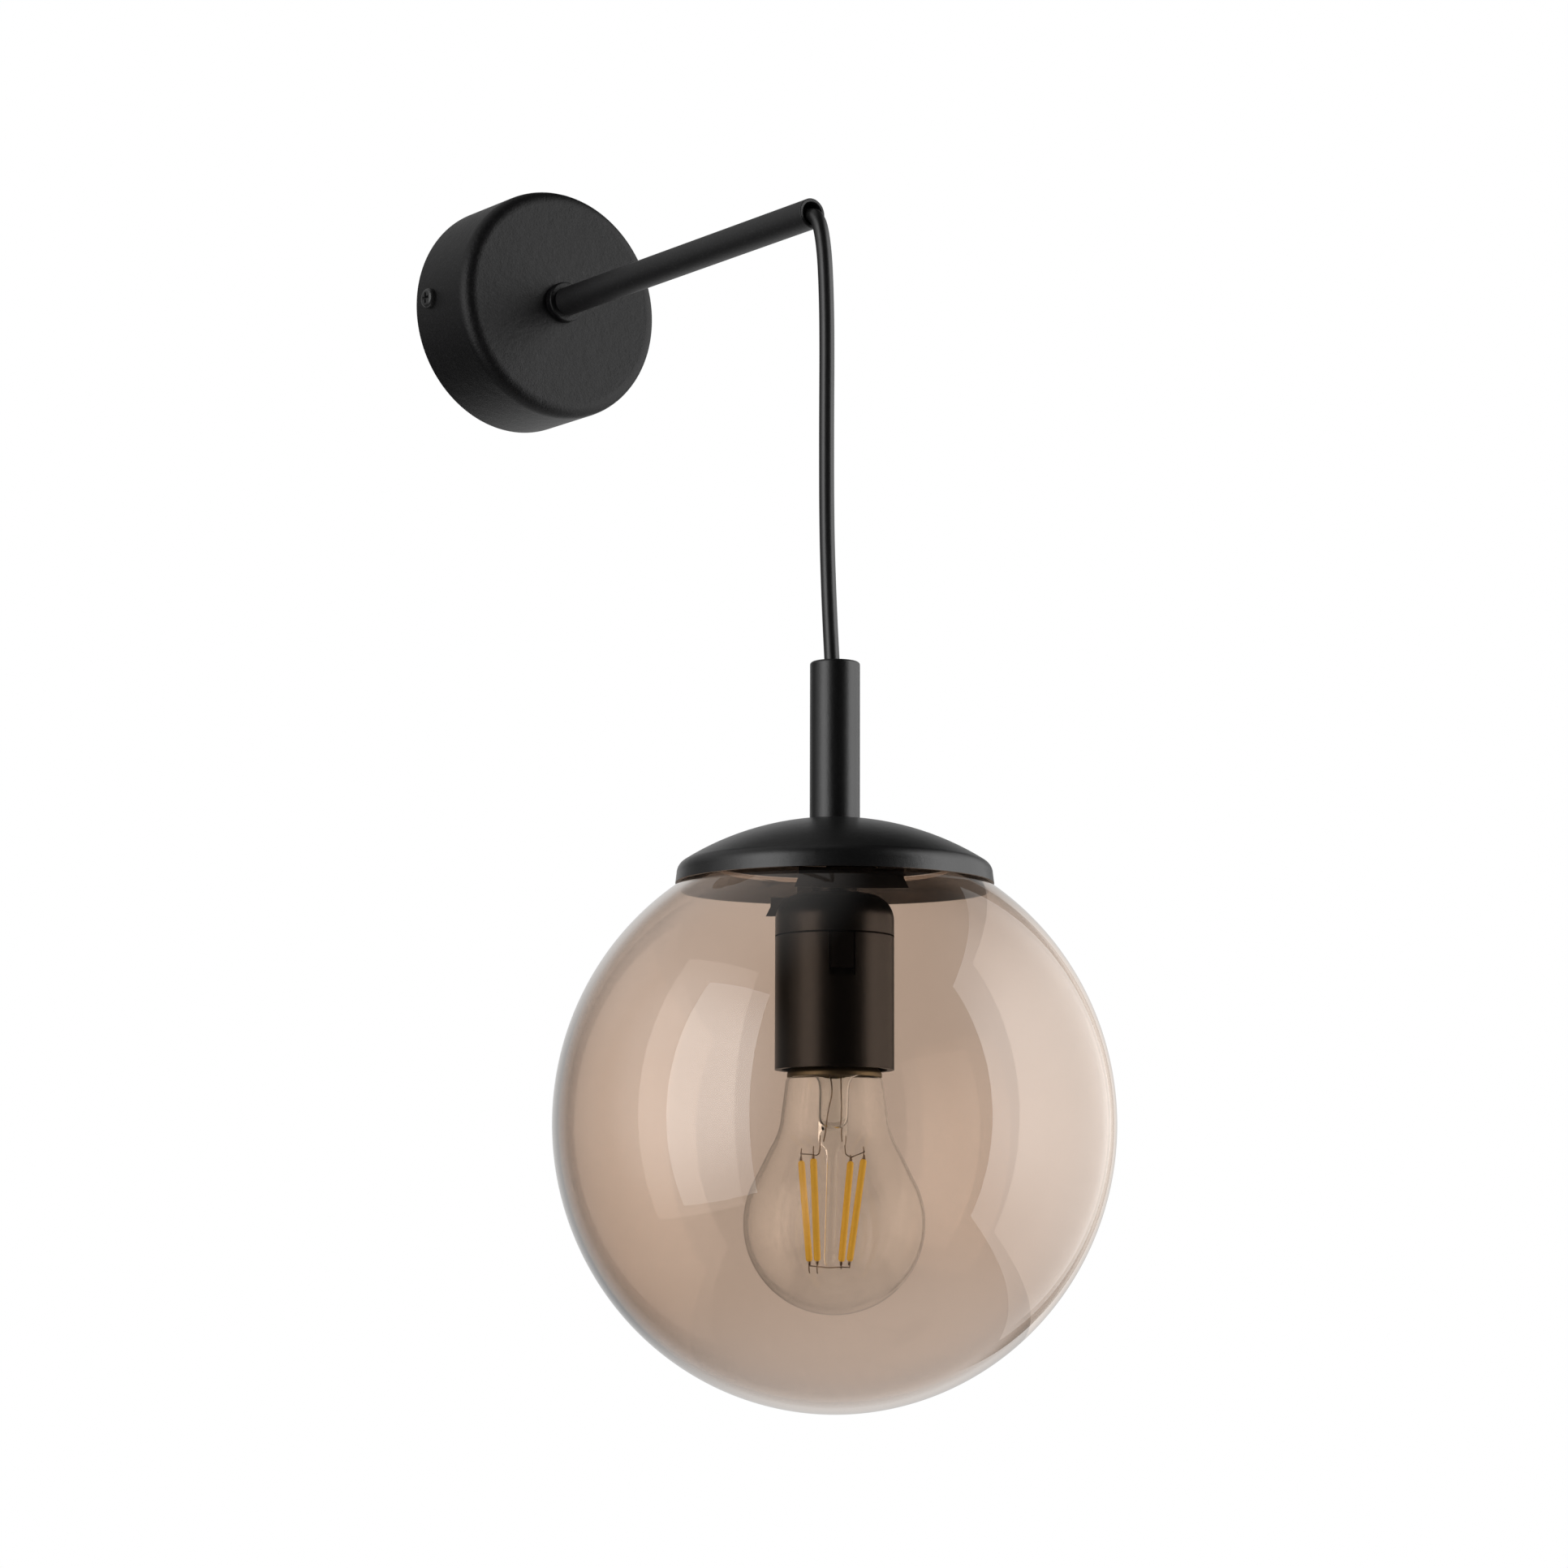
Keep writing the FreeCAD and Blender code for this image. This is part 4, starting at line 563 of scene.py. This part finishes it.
def ringOf(shape, centre, wide, deep, turn, sides):
    across = Vector((math.cos(turn), math.sin(turn), 0))
    through = Vector((-math.sin(turn), math.cos(turn), 0))
    if wide < 1e-7:
        return [shape.verts.new(centre)] * sides
    return [shape.verts.new(centre + across * (wide * math.cos(angle)) + through * (deep * math.sin(angle)))
            for angle in (2 * math.pi * step / sides for step in range(sides))]


def joinRings(shape, rings):
    for upper, lower in zip(rings, rings[1:]):
        for step in range(len(upper)):
            onward = (step + 1) % len(upper)
            corners = []
            for corner in (upper[step], upper[onward], lower[onward], lower[step]):
                if corner not in corners:
                    corners.append(corner)
            if len(corners) > 2:
                shape.faces.new(corners).smooth = True
    bmesh.ops.recalc_face_normals(shape, faces=shape.faces)


def revolve(profile, sides):
    # the profile is pairs of radius and height, and turns about the pendant's own axis
    shape = bmesh.new()
    joinRings(shape, [ringOf(shape, Vector((0, pendantAxis, height)), radius, radius, 0, sides)
                      for radius, height in profile])
    return shape


def arcBetween(first, second, radius, bulge, count):
    # bulge is 1 to the left of the way from first to second, or -1 to its right
    first, second = Vector(first), Vector(second)
    way = second - first
    side = Vector((-way.y, way.x)).normalized()
    centre = (first + second) / 2 - side * bulge * math.sqrt(radius ** 2 - way.length_squared / 4)
    start, end = first - centre, second - centre
    turn = start.angle_signed(end)
    points = []
    for step in range(1, count + 1):
        angle = -turn * step / count
        points.append((centre.x + start.x * math.cos(angle) - start.y * math.sin(angle),
                       centre.y + start.x * math.sin(angle) + start.y * math.cos(angle)))
    return points


pendantAxis = (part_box("lampholder_skirt")[0].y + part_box("lampholder_skirt")[1].y) / 2

# Globe, one blown wall with a fire polished rim
globe = {"radius": 0.0932, "halfHeight": 0.0954, "wall": 0.002, "hole": 0.038, "sides": 192, "rings": 110,
         "lipSteps": 8, "lipTurn": 0.006}


def makeGlobe(values):
    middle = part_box("glass_globe")[0].z + values["halfHeight"]
    wall, half = values["wall"], values["wall"] / 2
    meanRadius, meanHeight = values["radius"] - half, values["halfHeight"] - half

    def wallLine(radius, height, startTurn, count):
        return [(radius * math.sin(turn), middle + height * math.cos(turn))
                for turn in (startTurn + (math.pi - startTurn) * step / count for step in range(count + 1))]

    rimTurn = math.asin((values["hole"] + half) / meanRadius)
    rim = Vector((meanRadius * math.sin(rimTurn), middle + meanHeight * math.cos(rimTurn)))
    along = Vector((meanRadius * math.cos(rimTurn), -meanHeight * math.sin(rimTurn))).normalized()
    out = Vector((-along.y, along.x))
    lip = [tuple(rim - out * half * math.cos(angle) - along * half * math.sin(angle))
           for angle in (math.pi * step / values["lipSteps"] for step in range(values["lipSteps"] + 1))]
    startTurn = rimTurn + values["lipTurn"]
    inner = wallLine(values["radius"] - wall, values["halfHeight"] - wall, startTurn, values["rings"])
    outer = wallLine(values["radius"], values["halfHeight"], startTurn, values["rings"])
    shape = revolve(inner[::-1] + lip + outer, values["sides"])
    return finishPiece("blown_globe", shape, "pendant", "smoked_glass", "glass_globe")


makeGlobe(globe)

# Bulb glass, in millimetres below the bulb cap's lower edge. The collar alone is in metres
bulb = {
    "collar": 0.2973,
    "radius": 30,
    "length": 78,
    "wall": 0.3,
    "neck": 16.1,
    "fitted": 15.38,           # where the glass sits in its cap
    "lean": 28,                # degrees from level to where the ball ends and the shoulder starts
    "shoulder": (4.9, -22.9),  # beyond the neck's radius, and height
    "innerShoulder": -23.1,
    "throat": (1.5, -12.6),
    "throatArc": 22,
    "flank": (0.75, -7),
    "neckFoot": -0.9,
    "seatTop": 0.7,
    "innerSeat": 0.3,
    "mouth": [(12.5, 4.6), (11.9, 6)],
    "ballSteps": 64,
    "throatSteps": 10,
    "sides": 128,
}


def makeBulbGlass(values):
    radius, wall, neck, fitted = values["radius"], values["wall"], values["neck"], values["fitted"]
    shoulderOut, shoulderHeight = values["shoulder"]
    throatOut, throatHeight = values["throat"]
    flankOut, flankHeight = values["flank"]
    centre = values["length"] - radius
    lean = math.radians(values["lean"])

    def ballEdge(reach):
        return (reach * math.cos(lean), reach * math.sin(lean) - centre)

    outer = [(0, -values["length"])]
    outer += arcBetween(outer[0], ballEdge(radius), radius, -1, values["ballSteps"])
    outer.append((neck + shoulderOut, shoulderHeight))
    outer += arcBetween(outer[-1], (neck + throatOut, throatHeight), values["throatArc"], 1,
                        values["throatSteps"])
    outer += [(neck + flankOut, flankHeight), (neck, values["neckFoot"]), (fitted, 0),
              (fitted, values["seatTop"])]
    outer += values["mouth"]
    inner = [(reach - wall, height) for reach, height in values["mouth"][::-1]]
    inner += [(fitted - wall, values["innerSeat"]), (neck - wall, values["neckFoot"]),
              (neck - wall + flankOut, flankHeight), (neck + throatOut - wall, throatHeight)]
    inner += arcBetween(inner[-1], (neck + shoulderOut - wall, values["innerShoulder"]),
                        values["throatArc"] + wall, -1, values["throatSteps"])
    inner.append(ballEdge(radius - wall))
    inner += arcBetween(inner[-1], (0, wall - values["length"]), radius - wall, 1, values["ballSteps"])
    profile = [(x / 1000, y / 1000 - values["collar"]) for x, y in outer + inner]
    profile[-1] = (0, profile[-1][1])
    return finishPiece("blown_bulb", revolve(profile, values["sides"]), "bulb", "clear_glass", "bulb_glass")


makeBulbGlass(bulb)

# Light sticks: a coated bar with a thin metal tab at each end, four round the glass rod
sticks = {
    "count": 4,
    "top": -0.3245,
    "foot": -0.3577,
    "topSpread": 0.012,
    "footSpread": 0.0077,
    "turn": 21.7,
    "width": 0.0021,
    "tab": 0.0014,
    "tabHidden": 0.0006,  # how far a tab reaches into its bar
    "barShape": [(0.0, 0.45), (0.006, 0.75), (0.016, 0.94), (0.03, 1.0), (0.97, 1.0), (0.984, 0.94),
                 (0.994, 0.75), (1.0, 0.45)],  # share of the length, and width there
    "tabShape": [(0, 0.5), (0.6, 0.45), (1, 0.25)],
    "barSides": 20,
    "barSquare": 1.35,
    "tabSides": 8,
    "tabSquare": 2,
    "leanWay": (-0.8, 0.6, 0),
    "lean": 0.026,  # how much the bulb's inner parts lean, as share of the way down from its collar
}


def leaned(point):
    return point + Vector(sticks["leanWay"]) * (sticks["lean"] * max(-bulb["collar"] - point.z, 0))


def stickEnds(values):
    ends = []
    for index in range(values["count"]):
        angle = math.radians(values["turn"] + 360 / values["count"] * index)
        out = Vector((math.cos(angle), math.sin(angle), 0))
        ends.append((leaned(Vector((0, pendantAxis, values["top"])) + out * values["topSpread"]),
                     leaned(Vector((0, pendantAxis, values["foot"])) + out * values["footSpread"]), out))
    return ends


def addBar(shape, start, end, side, profile, sides, square=1.0):
    # profile is pairs of a share of the length and a half width, square above 1 makes flatter sides
    forward = (end - start).normalized()
    through = forward.cross(side).normalized()
    flat = through.cross(forward)
    rings = []
    for share, half in profile:
        centre = start.lerp(end, share)
        ring = []
        for step in range(sides):
            angle = 2 * math.pi * (step + 0.5) / sides
            x, y = math.cos(angle), math.sin(angle)
            swell = (abs(x) ** (2 * square) + abs(y) ** (2 * square)) ** (-0.5 / square)
            ring.append(shape.verts.new(centre + (flat * x + through * y) * swell * half))
        rings.append(ring)
    joinRings(shape, rings)
    shape.faces.new(rings[0])
    shape.faces.new(rings[-1][::-1])


def makeSticks(values):
    coats, tabs = bmesh.new(), bmesh.new()
    half = values["width"] / 2
    barShape, tabShape = [[(share, half * width) for share, width in values[key]]
                          for key in ("barShape", "tabShape")]
    for top, foot, out in stickEnds(values):
        forward = (foot - top).normalized()
        addBar(coats, top, foot, out, barShape, values["barSides"], values["barSquare"])
        for end, way in ((top, -forward), (foot, forward)):
            addBar(tabs, end - way * values["tabHidden"], end + way * values["tab"], out, tabShape,
                   values["tabSides"], values["tabSquare"])
    bmesh.ops.recalc_face_normals(coats, faces=coats.faces)
    bmesh.ops.recalc_face_normals(tabs, faces=tabs.faces)
    finishPiece("light_sticks", coats, "bulb", "filament_yellow", "filaments")
    finishPiece("stick_tabs", tabs, "bulb", "wire_metal", "filament_wires")


makeSticks(sticks)

# Bent wires in the bulb. Each stick has an end of wire above and below it
wires = {
    "radius": 0.00021,
    "roundness": 3,
    "stepsPerPoint": 8,
    "pinTurn": -45,  # from the sticks' own turn
    "pinch": -0.3196,
    "pinSpread": 0.0042,
    "pinRise": 0.003,
    "pinDrops": [(1.05, 0.003), (1.35, 0.0036)],  # share of the spread, and how far below the pinch
    "nearLift": 0.0013,
    "farLift": 0.0022,
    "pastLift": 0.0024,
    "past": 0.06,
    "ticksAbove": (0.0022, 0.0041, 0.0040, 0.0041),
    "ticksBelow": (0.0024, 0.0038, 0.0040, 0.0022),
    "tickStart": 0.0008,
    "ticksBend": [(0.6, 0.0001, 0.0001), (0.7, 0.0004, 0.0002)],  # share of the length, out there, in last
    "footDrop": 0.0018,
    "footShares": (0.8, 1.1),
    "rodDrop": 0.0021,
    "leads": [  # for each pin: turn away from it in degrees, reach, and height
        [(0, 0.0022, -0.2880), (0, 0.0022, -0.2940), (0, 0.0024, -0.3020), (0, 0.0028, -0.3075),
         (0, 0.0024, -0.3155), (0, 0.0030, -0.3185)],
        [(0, 0.0022, -0.2880), (0, 0.0022, -0.2940), (70, 0.0024, -0.3020), (40, 0.0028, -0.3075),
         (0, 0.0024, -0.3155), (0, 0.0030, -0.3185)],
    ],
}


def makeWires(name, routes, values, *replaced):
    curve = bpy.data.curves.new(name, "CURVE")
    curve.dimensions = "3D"
    curve.bevel_depth = values["radius"]
    curve.bevel_resolution = values["roundness"]
    curve.use_fill_caps = True
    for route in routes:
        spline = curve.splines.new("NURBS")
        spline.points.add(len(route) - 1)
        for knot, point in zip(spline.points, route):
            knot.co = (*point, 1)
        spline.order_u = 3
        spline.use_endpoint_u = True
        spline.resolution_u = values["stepsPerPoint"]
    guide = bpy.data.objects.new(name + "_line", curve)
    scene.collection.objects.link(guide)
    bpy.context.view_layer.update()
    mesh = bpy.data.meshes.new_from_object(guide.evaluated_get(bpy.context.evaluated_depsgraph_get()))
    bpy.data.objects.remove(guide)
    shape = bmesh.new()
    shape.from_mesh(mesh)
    bpy.data.meshes.remove(mesh)
    bmesh.ops.recalc_face_normals(shape, faces=shape.faces)
    return finishPiece(name, shape, "bulb", "wire_metal", *replaced)


def bulbWires(values, stickValues):
    ends = stickEnds(stickValues)
    axis = Vector((0, pendantAxis, 0))

    def spot(turn, reach, height):
        angle = math.radians(turn)
        return leaned(axis + Vector((math.cos(angle) * reach, math.sin(angle) * reach, height)))

    def up(height):
        return Vector((0, 0, height))

    spread, pinch, pinTurn = values["pinSpread"], values["pinch"], stickValues["turn"] + values["pinTurn"]
    routes = []
    for side, near, far in ((0, 0, 3), (180, 2, 1)):
        pin = pinTurn + side
        nearTop, farTop = ends[near][0], ends[far][0]
        bend = nearTop + up(values["nearLift"])
        routes.append([spot(pin, spread, pinch + values["pinRise"]), spot(pin, spread, pinch)]
                      + [spot(pin, spread * share, pinch - drop) for share, drop in values["pinDrops"]]
                      + [bend, bend, farTop + up(values["farLift"]),
                         farTop + (farTop - nearTop) * values["past"] + up(values["pastLift"])])
    for (top, foot, out), above, below in zip(ends, values["ticksAbove"], values["ticksBelow"]):
        for end, length, (share, bow, back) in ((top, above, values["ticksBend"][0]),
                                                (foot, -below, values["ticksBend"][1])):
            routes.append([end + up(math.copysign(values["tickStart"], length)),
                           end + up(length * share) + out * bow, end + up(length) - out * back])
    low = up(-values["footDrop"])
    firstShare, lastShare = values["footShares"]
    foot = leaned(axis + up(stickValues["foot"] - values["rodDrop"]))
    routes.append([ends[1][1] + low * firstShare, ends[2][1] + low, ends[2][1] + low, foot, foot,
                   ends[0][1] + low, ends[0][1] + low, ends[3][1] + low * lastShare])
    makeWires("bent_wires", routes, values, "filament_wires")
    leads = [[spot(pinTurn + side + turn, reach, height) for turn, reach, height in route]
             for side, route in zip((0, 180), values["leads"])]
    makeWires("lead_in_wires", leads, values, "lead_wires")


bulbWires(wires, sticks)

# Glass stem in the bulb: a flared tube, the flat pinch that seals the wires, and the long centre rod
stem = {
    "turn": sticks["turn"] + wires["pinTurn"],
    "outside": [  # height, half width and half depth in millimetres, from the flare down to the rod's end
        (-292.9, 10.8, 10.8), (-294.6, 9.2, 9.2), (-296.4, 7.2, 7.2), (-298.4, 5.6, 5.6),
        (-300.4, 4.95, 4.95), (-303, 4.9, 4.9), (-310, 4.9, 4.9), (-312.5, 4.9, 4.6), (-314, 4.95, 3.4),
        (-315.4, 5.0, 2.4), (-317, 5.05, 2.1), (-318.6, 4.9, 2.1), (-319.6, 4.2, 2.0), (-320.4, 3.0, 1.9),
        (-321.3, 2.2, 1.85),
        (-322.5, 1.9, 1.85), (-328, 1.8, 1.8), (-340, 1.85, 1.85), (-352, 1.8, 1.8), (-356.6, 1.85, 1.85),
        (-358.2, 1.8, 1.8), (-359.1, 1.25, 1.25), (-359.5, 0, 0),
    ],
    "inside": [
        (-314.2, 0, 0), (-313.9, 1.6, 0.8), (-313.2, 3.2, 2.2), (-311.8, 4.1, 3.5), (-309.5, 4.3, 4.1),
        (-303, 4.3, 4.3), (-300.4, 4.35, 4.35), (-298.2, 5.0, 5.0), (-296.1, 6.7, 6.7), (-294.2, 8.7, 8.7),
        (-292.9, 10.2, 10.2),
    ],
    "sides": 48,
}


def makeStem(values):
    shape = bmesh.new()
    turn = math.radians(values["turn"])
    joinRings(shape, [ringOf(shape, leaned(Vector((0, pendantAxis, height / 1000))), wide / 1000, deep / 1000,
                             turn, values["sides"])
                      for height, wide, deep in values["inside"] + values["outside"]])
    piece = finishPiece("glass_stem", shape, "bulb", "clear_glass", "bulb_stem")
    smooth = piece.modifiers.new("smoothGlass", "SUBSURF")
    smooth.levels = smooth.render_levels = 1
    piece.data.materials[0] = glass("stemGlass", stemGlass)


makeStem(stem)


# Geometry Nodes trees
def nodeTree(name, inputs):
    tree = bpy.data.node_groups.new(name, "GeometryNodeTree")
    for title, kind, value in inputs:
        socket = tree.interface.new_socket(title, in_out="INPUT", socket_type="NodeSocket" + kind)
        if value is not None:
            socket.default_value = value
    tree.interface.new_socket("Geometry", in_out="OUTPUT", socket_type="NodeSocketGeometry")
    return tree, tree.nodes.new("NodeGroupInput").outputs


def sums(tree):
    return [lambda first, second, operation=operation: calculate(tree, operation, first, second)
            for operation in ("ADD", "SUBTRACT", "MULTIPLY")]


def remap(tree, value, fromLow, fromHigh, toLow=0.0, toHigh=1.0):
    return addNode(tree, "ShaderNodeMapRange", {"interpolation_type": "SMOOTHSTEP"},
                   {"Value": value, "From Min": fromLow, "From Max": fromHigh, "To Min": toLow,
                    "To Max": toHigh}).outputs[0]


def finishTree(tree, geometry, material):
    solid = addNode(tree, "GeometryNodeRealizeInstances", None, {"Geometry": geometry}).outputs[0]
    painted = addNode(tree, "GeometryNodeSetMaterial", None, {"Geometry": solid, "Material": material})
    tree.links.new(painted.outputs[0], tree.nodes.new("NodeGroupOutput").inputs[0])


def grow(name, tree, settings):
    # runs a tree with these settings and gives its result as a plain mesh
    mesh = bpy.data.meshes.new(name)
    thing = bpy.data.objects.new(name, mesh)
    scene.collection.objects.link(thing)
    modifier = thing.modifiers.new(name, "NODES")
    modifier.node_group = tree
    keys = {item.name: item.identifier for item in tree.interface.items_tree if item.in_out == "INPUT"}
    for title, value in settings.items():
        modifier[keys[title]] = value
    bpy.context.view_layer.update()
    result = bpy.data.meshes.new_from_object(thing.evaluated_get(bpy.context.evaluated_depsgraph_get()))
    thing.modifiers.remove(modifier)
    result.name = name
    thing.data = result
    bpy.data.meshes.remove(mesh)
    return thing


def threadTree():
    tree, given = nodeTree("rolledThread", [
        ("Crest radius", "Float", 0.0131), ("Thread depth", "Float", 0.0009), ("Pitch", "Float", 0.00362),
        ("Top", "Float", 0.0), ("Foot", "Float", -0.02), ("Thread start", "Float", -0.004),
        ("Thread end", "Float", -0.018), ("Mouth radius", "Float", 0.01), ("Mouth height", "Float", 0.002),
        ("Skirt radius", "Float", 0.0131), ("Skirt height", "Float", 0.004), ("Skirt edge", "Float", 0.001),
        ("Run out", "Float", 0.0022), ("Seam", "Float", 1e-5), ("Around", "Int", 96), ("Along", "Int", 120),
        ("Place", "Vector", (0, 0, 0)), ("Material", "Material", None)])
    plus, less, times = sums(tree)
    grid = addNode(tree, "GeometryNodeMeshGrid", None, {
        "Size X": 1.0, "Size Y": 1.0, "Vertices X": plus(given["Around"], 1.0),
        "Vertices Y": given["Along"]})
    place = addNode(tree, "ShaderNodeSeparateXYZ", None,
                    {0: addNode(tree, "GeometryNodeInputPosition").outputs[0]}).outputs
    turn = times(place[0], 2 * math.pi)
    share = plus(place[1], 0.5)
    height = plus(given["Foot"], times(less(given["Top"], given["Foot"]), share))
    wound = less(times(calculate(tree, "DIVIDE", height, given["Pitch"]), 2 * math.pi), turn)
    wave = times(less(1.0, calculate(tree, "COSINE", wound)), 0.5)
    above = remap(tree, height, less(given["Thread start"], given["Run out"]), given["Thread start"],
                  1.0, 0.0)
    below = remap(tree, height, given["Thread end"], plus(given["Thread end"], given["Run out"]))
    depth = times(times(wave, given["Thread depth"]), times(above, below))
    mouth = remap(tree, height, less(given["Top"], given["Mouth height"]), given["Top"], 0.0,
                  less(given["Crest radius"], given["Mouth radius"]))
    flare = remap(tree, height, plus(given["Foot"], given["Skirt height"]),
                  plus(given["Foot"], given["Skirt edge"]), 0.0,
                  less(given["Skirt radius"], given["Crest radius"]))
    radius = plus(less(less(given["Crest radius"], depth), mouth), flare)
    point = addNode(tree, "ShaderNodeCombineXYZ", None, {
        0: times(radius, calculate(tree, "COSINE", turn)), 1: times(radius, calculate(tree, "SINE", turn)),
        2: height}).outputs[0]
    point = addNode(tree, "ShaderNodeVectorMath", {"operation": "ADD"}, {0: point, 1: given["Place"]})
    sleeve = addNode(tree, "GeometryNodeSetPosition", None,
                     {"Geometry": grid.outputs[0], "Position": point.outputs[0]})
    sealed = addNode(tree, "GeometryNodeMergeByDistance", None,
                     {"Geometry": sleeve.outputs[0], "Distance": given["Seam"]})
    smooth = addNode(tree, "GeometryNodeSetShadeSmooth", None, {"Geometry": sealed.outputs[0]})
    finishTree(tree, smooth.outputs[0], given["Material"])
    return tree


washerShape = {"band": 0.6, "toothReach": 0.58, "toothWidth": 0.62, "toothHeight": 0.5, "steps": 72}


def washerTree(shape):
    tree, given = nodeTree("toothedWasher", [
        ("Hole radius", "Float", 0.0052), ("Outer radius", "Float", 0.0085), ("Thickness", "Float", 0.0006),
        ("Tooth", "Float", 0.0022), ("Twist", "Float", 0.45), ("Teeth", "Int", 16),
        ("Turn", "Vector", (0, 0, 0)), ("Place", "Vector", (0, 0, 0)), ("Material", "Material", None)])
    plus, less, times = sums(tree)
    band = less(less(given["Outer radius"], given["Tooth"]), given["Hole radius"])
    middle = plus(given["Hole radius"], times(band, 0.5))
    line = addNode(tree, "GeometryNodeCurvePrimitiveCircle", None,
                   {"Resolution": shape["steps"], "Radius": middle})
    section = addNode(tree, "GeometryNodeCurvePrimitiveQuadrilateral", None,
                      {"Width": band, "Height": times(given["Thickness"], shape["band"])})
    body = addNode(tree, "GeometryNodeCurveToMesh", None,
                   {"Curve": line.outputs[0], "Profile Curve": section.outputs[0]})
    reach = times(given["Tooth"], shape["toothReach"])
    spots = addNode(tree, "GeometryNodeMeshCircle", None, {
        "Vertices": given["Teeth"], "Radius": less(given["Outer radius"], reach)})
    size = addNode(tree, "ShaderNodeCombineXYZ", None, {
        0: given["Tooth"], 1: times(given["Tooth"], shape["toothWidth"]),
        2: times(given["Thickness"], shape["toothHeight"])})
    tooth = addNode(tree, "GeometryNodeMeshCube", None, {"Size": size.outputs[0]})
    twisted = addNode(tree, "GeometryNodeTransform", None, {
        "Geometry": tooth.outputs[0],
        "Rotation": addNode(tree, "ShaderNodeCombineXYZ", None, {0: given["Twist"]}).outputs[0]})
    facing = addNode(tree, "FunctionNodeAlignRotationToVector", {"axis": "X", "pivot_axis": "Z"},
                     {"Vector": addNode(tree, "GeometryNodeInputPosition").outputs[0]})
    teeth = addNode(tree, "GeometryNodeInstanceOnPoints", None, {
        "Points": spots.outputs[0], "Instance": twisted.outputs[0], "Rotation": facing.outputs[0]})
    both = addNode(tree, "GeometryNodeJoinGeometry")
    tree.links.new(body.outputs[0], both.inputs[0])
    tree.links.new(teeth.outputs[0], both.inputs[0])
    moved = addNode(tree, "GeometryNodeTransform", None, {
        "Geometry": both.outputs[0], "Rotation": given["Turn"], "Translation": given["Place"]})
    finishTree(tree, moved.outputs[0], given["Material"])
    return tree


# Rolled threads of the bulb's cap and of the holder's shell. Both climb one pitch a turn, the same way round
capThread = {"Crest radius": 0.0131, "Thread depth": 0.0009, "Top": -0.2748, "Foot": -0.2973,
             "Thread start": -0.2772, "Thread end": -0.2915, "Mouth radius": 0.01, "Mouth height": 0.0022,
             "Skirt radius": 0.0157, "Skirt height": 0.005}
shellThread = {"Crest radius": 0.0137, "Thread depth": 0.00085, "Top": -0.268, "Foot": -0.291,
               "Thread start": -0.2695, "Thread end": -0.2895, "Mouth radius": 0.0137, "Mouth height": 0.001,
               "Skirt radius": 0.0137, "Skirt height": 0.002}
rolled = threadTree()


def makeThreads(name, values, sheet, body, slot, replaced):
    thing = grow(name, rolled, {**values, "Place": (0, pendantAxis, 0), "Material": finishes[slot]})
    outward = sum(face.normal.dot(face.center - Vector((0, pendantAxis, face.center.z)))
                  for face in thing.data.polygons)
    if outward < 0:
        thing.data.flip_normals()
    wall = thing.modifiers.new("sheet", "SOLIDIFY")
    wall.thickness = sheet
    wall.offset = -1
    return settle(thing, body, slot, replaced)


makeThreads("rolled_cap", capThread, 0.0003, "bulb", "cap_metal", "bulb_cap")
makeThreads("rolled_shell", shellThread, 0.00035, "pendant", "brass", "screw_shell")

# Toothed washers under the two nuts
toothed = washerTree(washerShape)
washers = [("arm_toothed_washer", "arm_lock_washer", "wall_side", (math.pi / 2, 0, 0)),
           ("cap_toothed_washer", "cap_lock_washer", "pendant", (0, 0, 0))]
for name, replaced, body, turn in washers:
    low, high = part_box(replaced)
    washer = grow(name, toothed, {
        "Outer radius": (high.x - low.x) / 2, "Thickness": min(high.y - low.y, high.z - low.z), "Turn": turn,
        "Place": (low + high) / 2, "Material": finishes["plated_steel"]})
    settle(washer, body, "plated_steel", replaced)
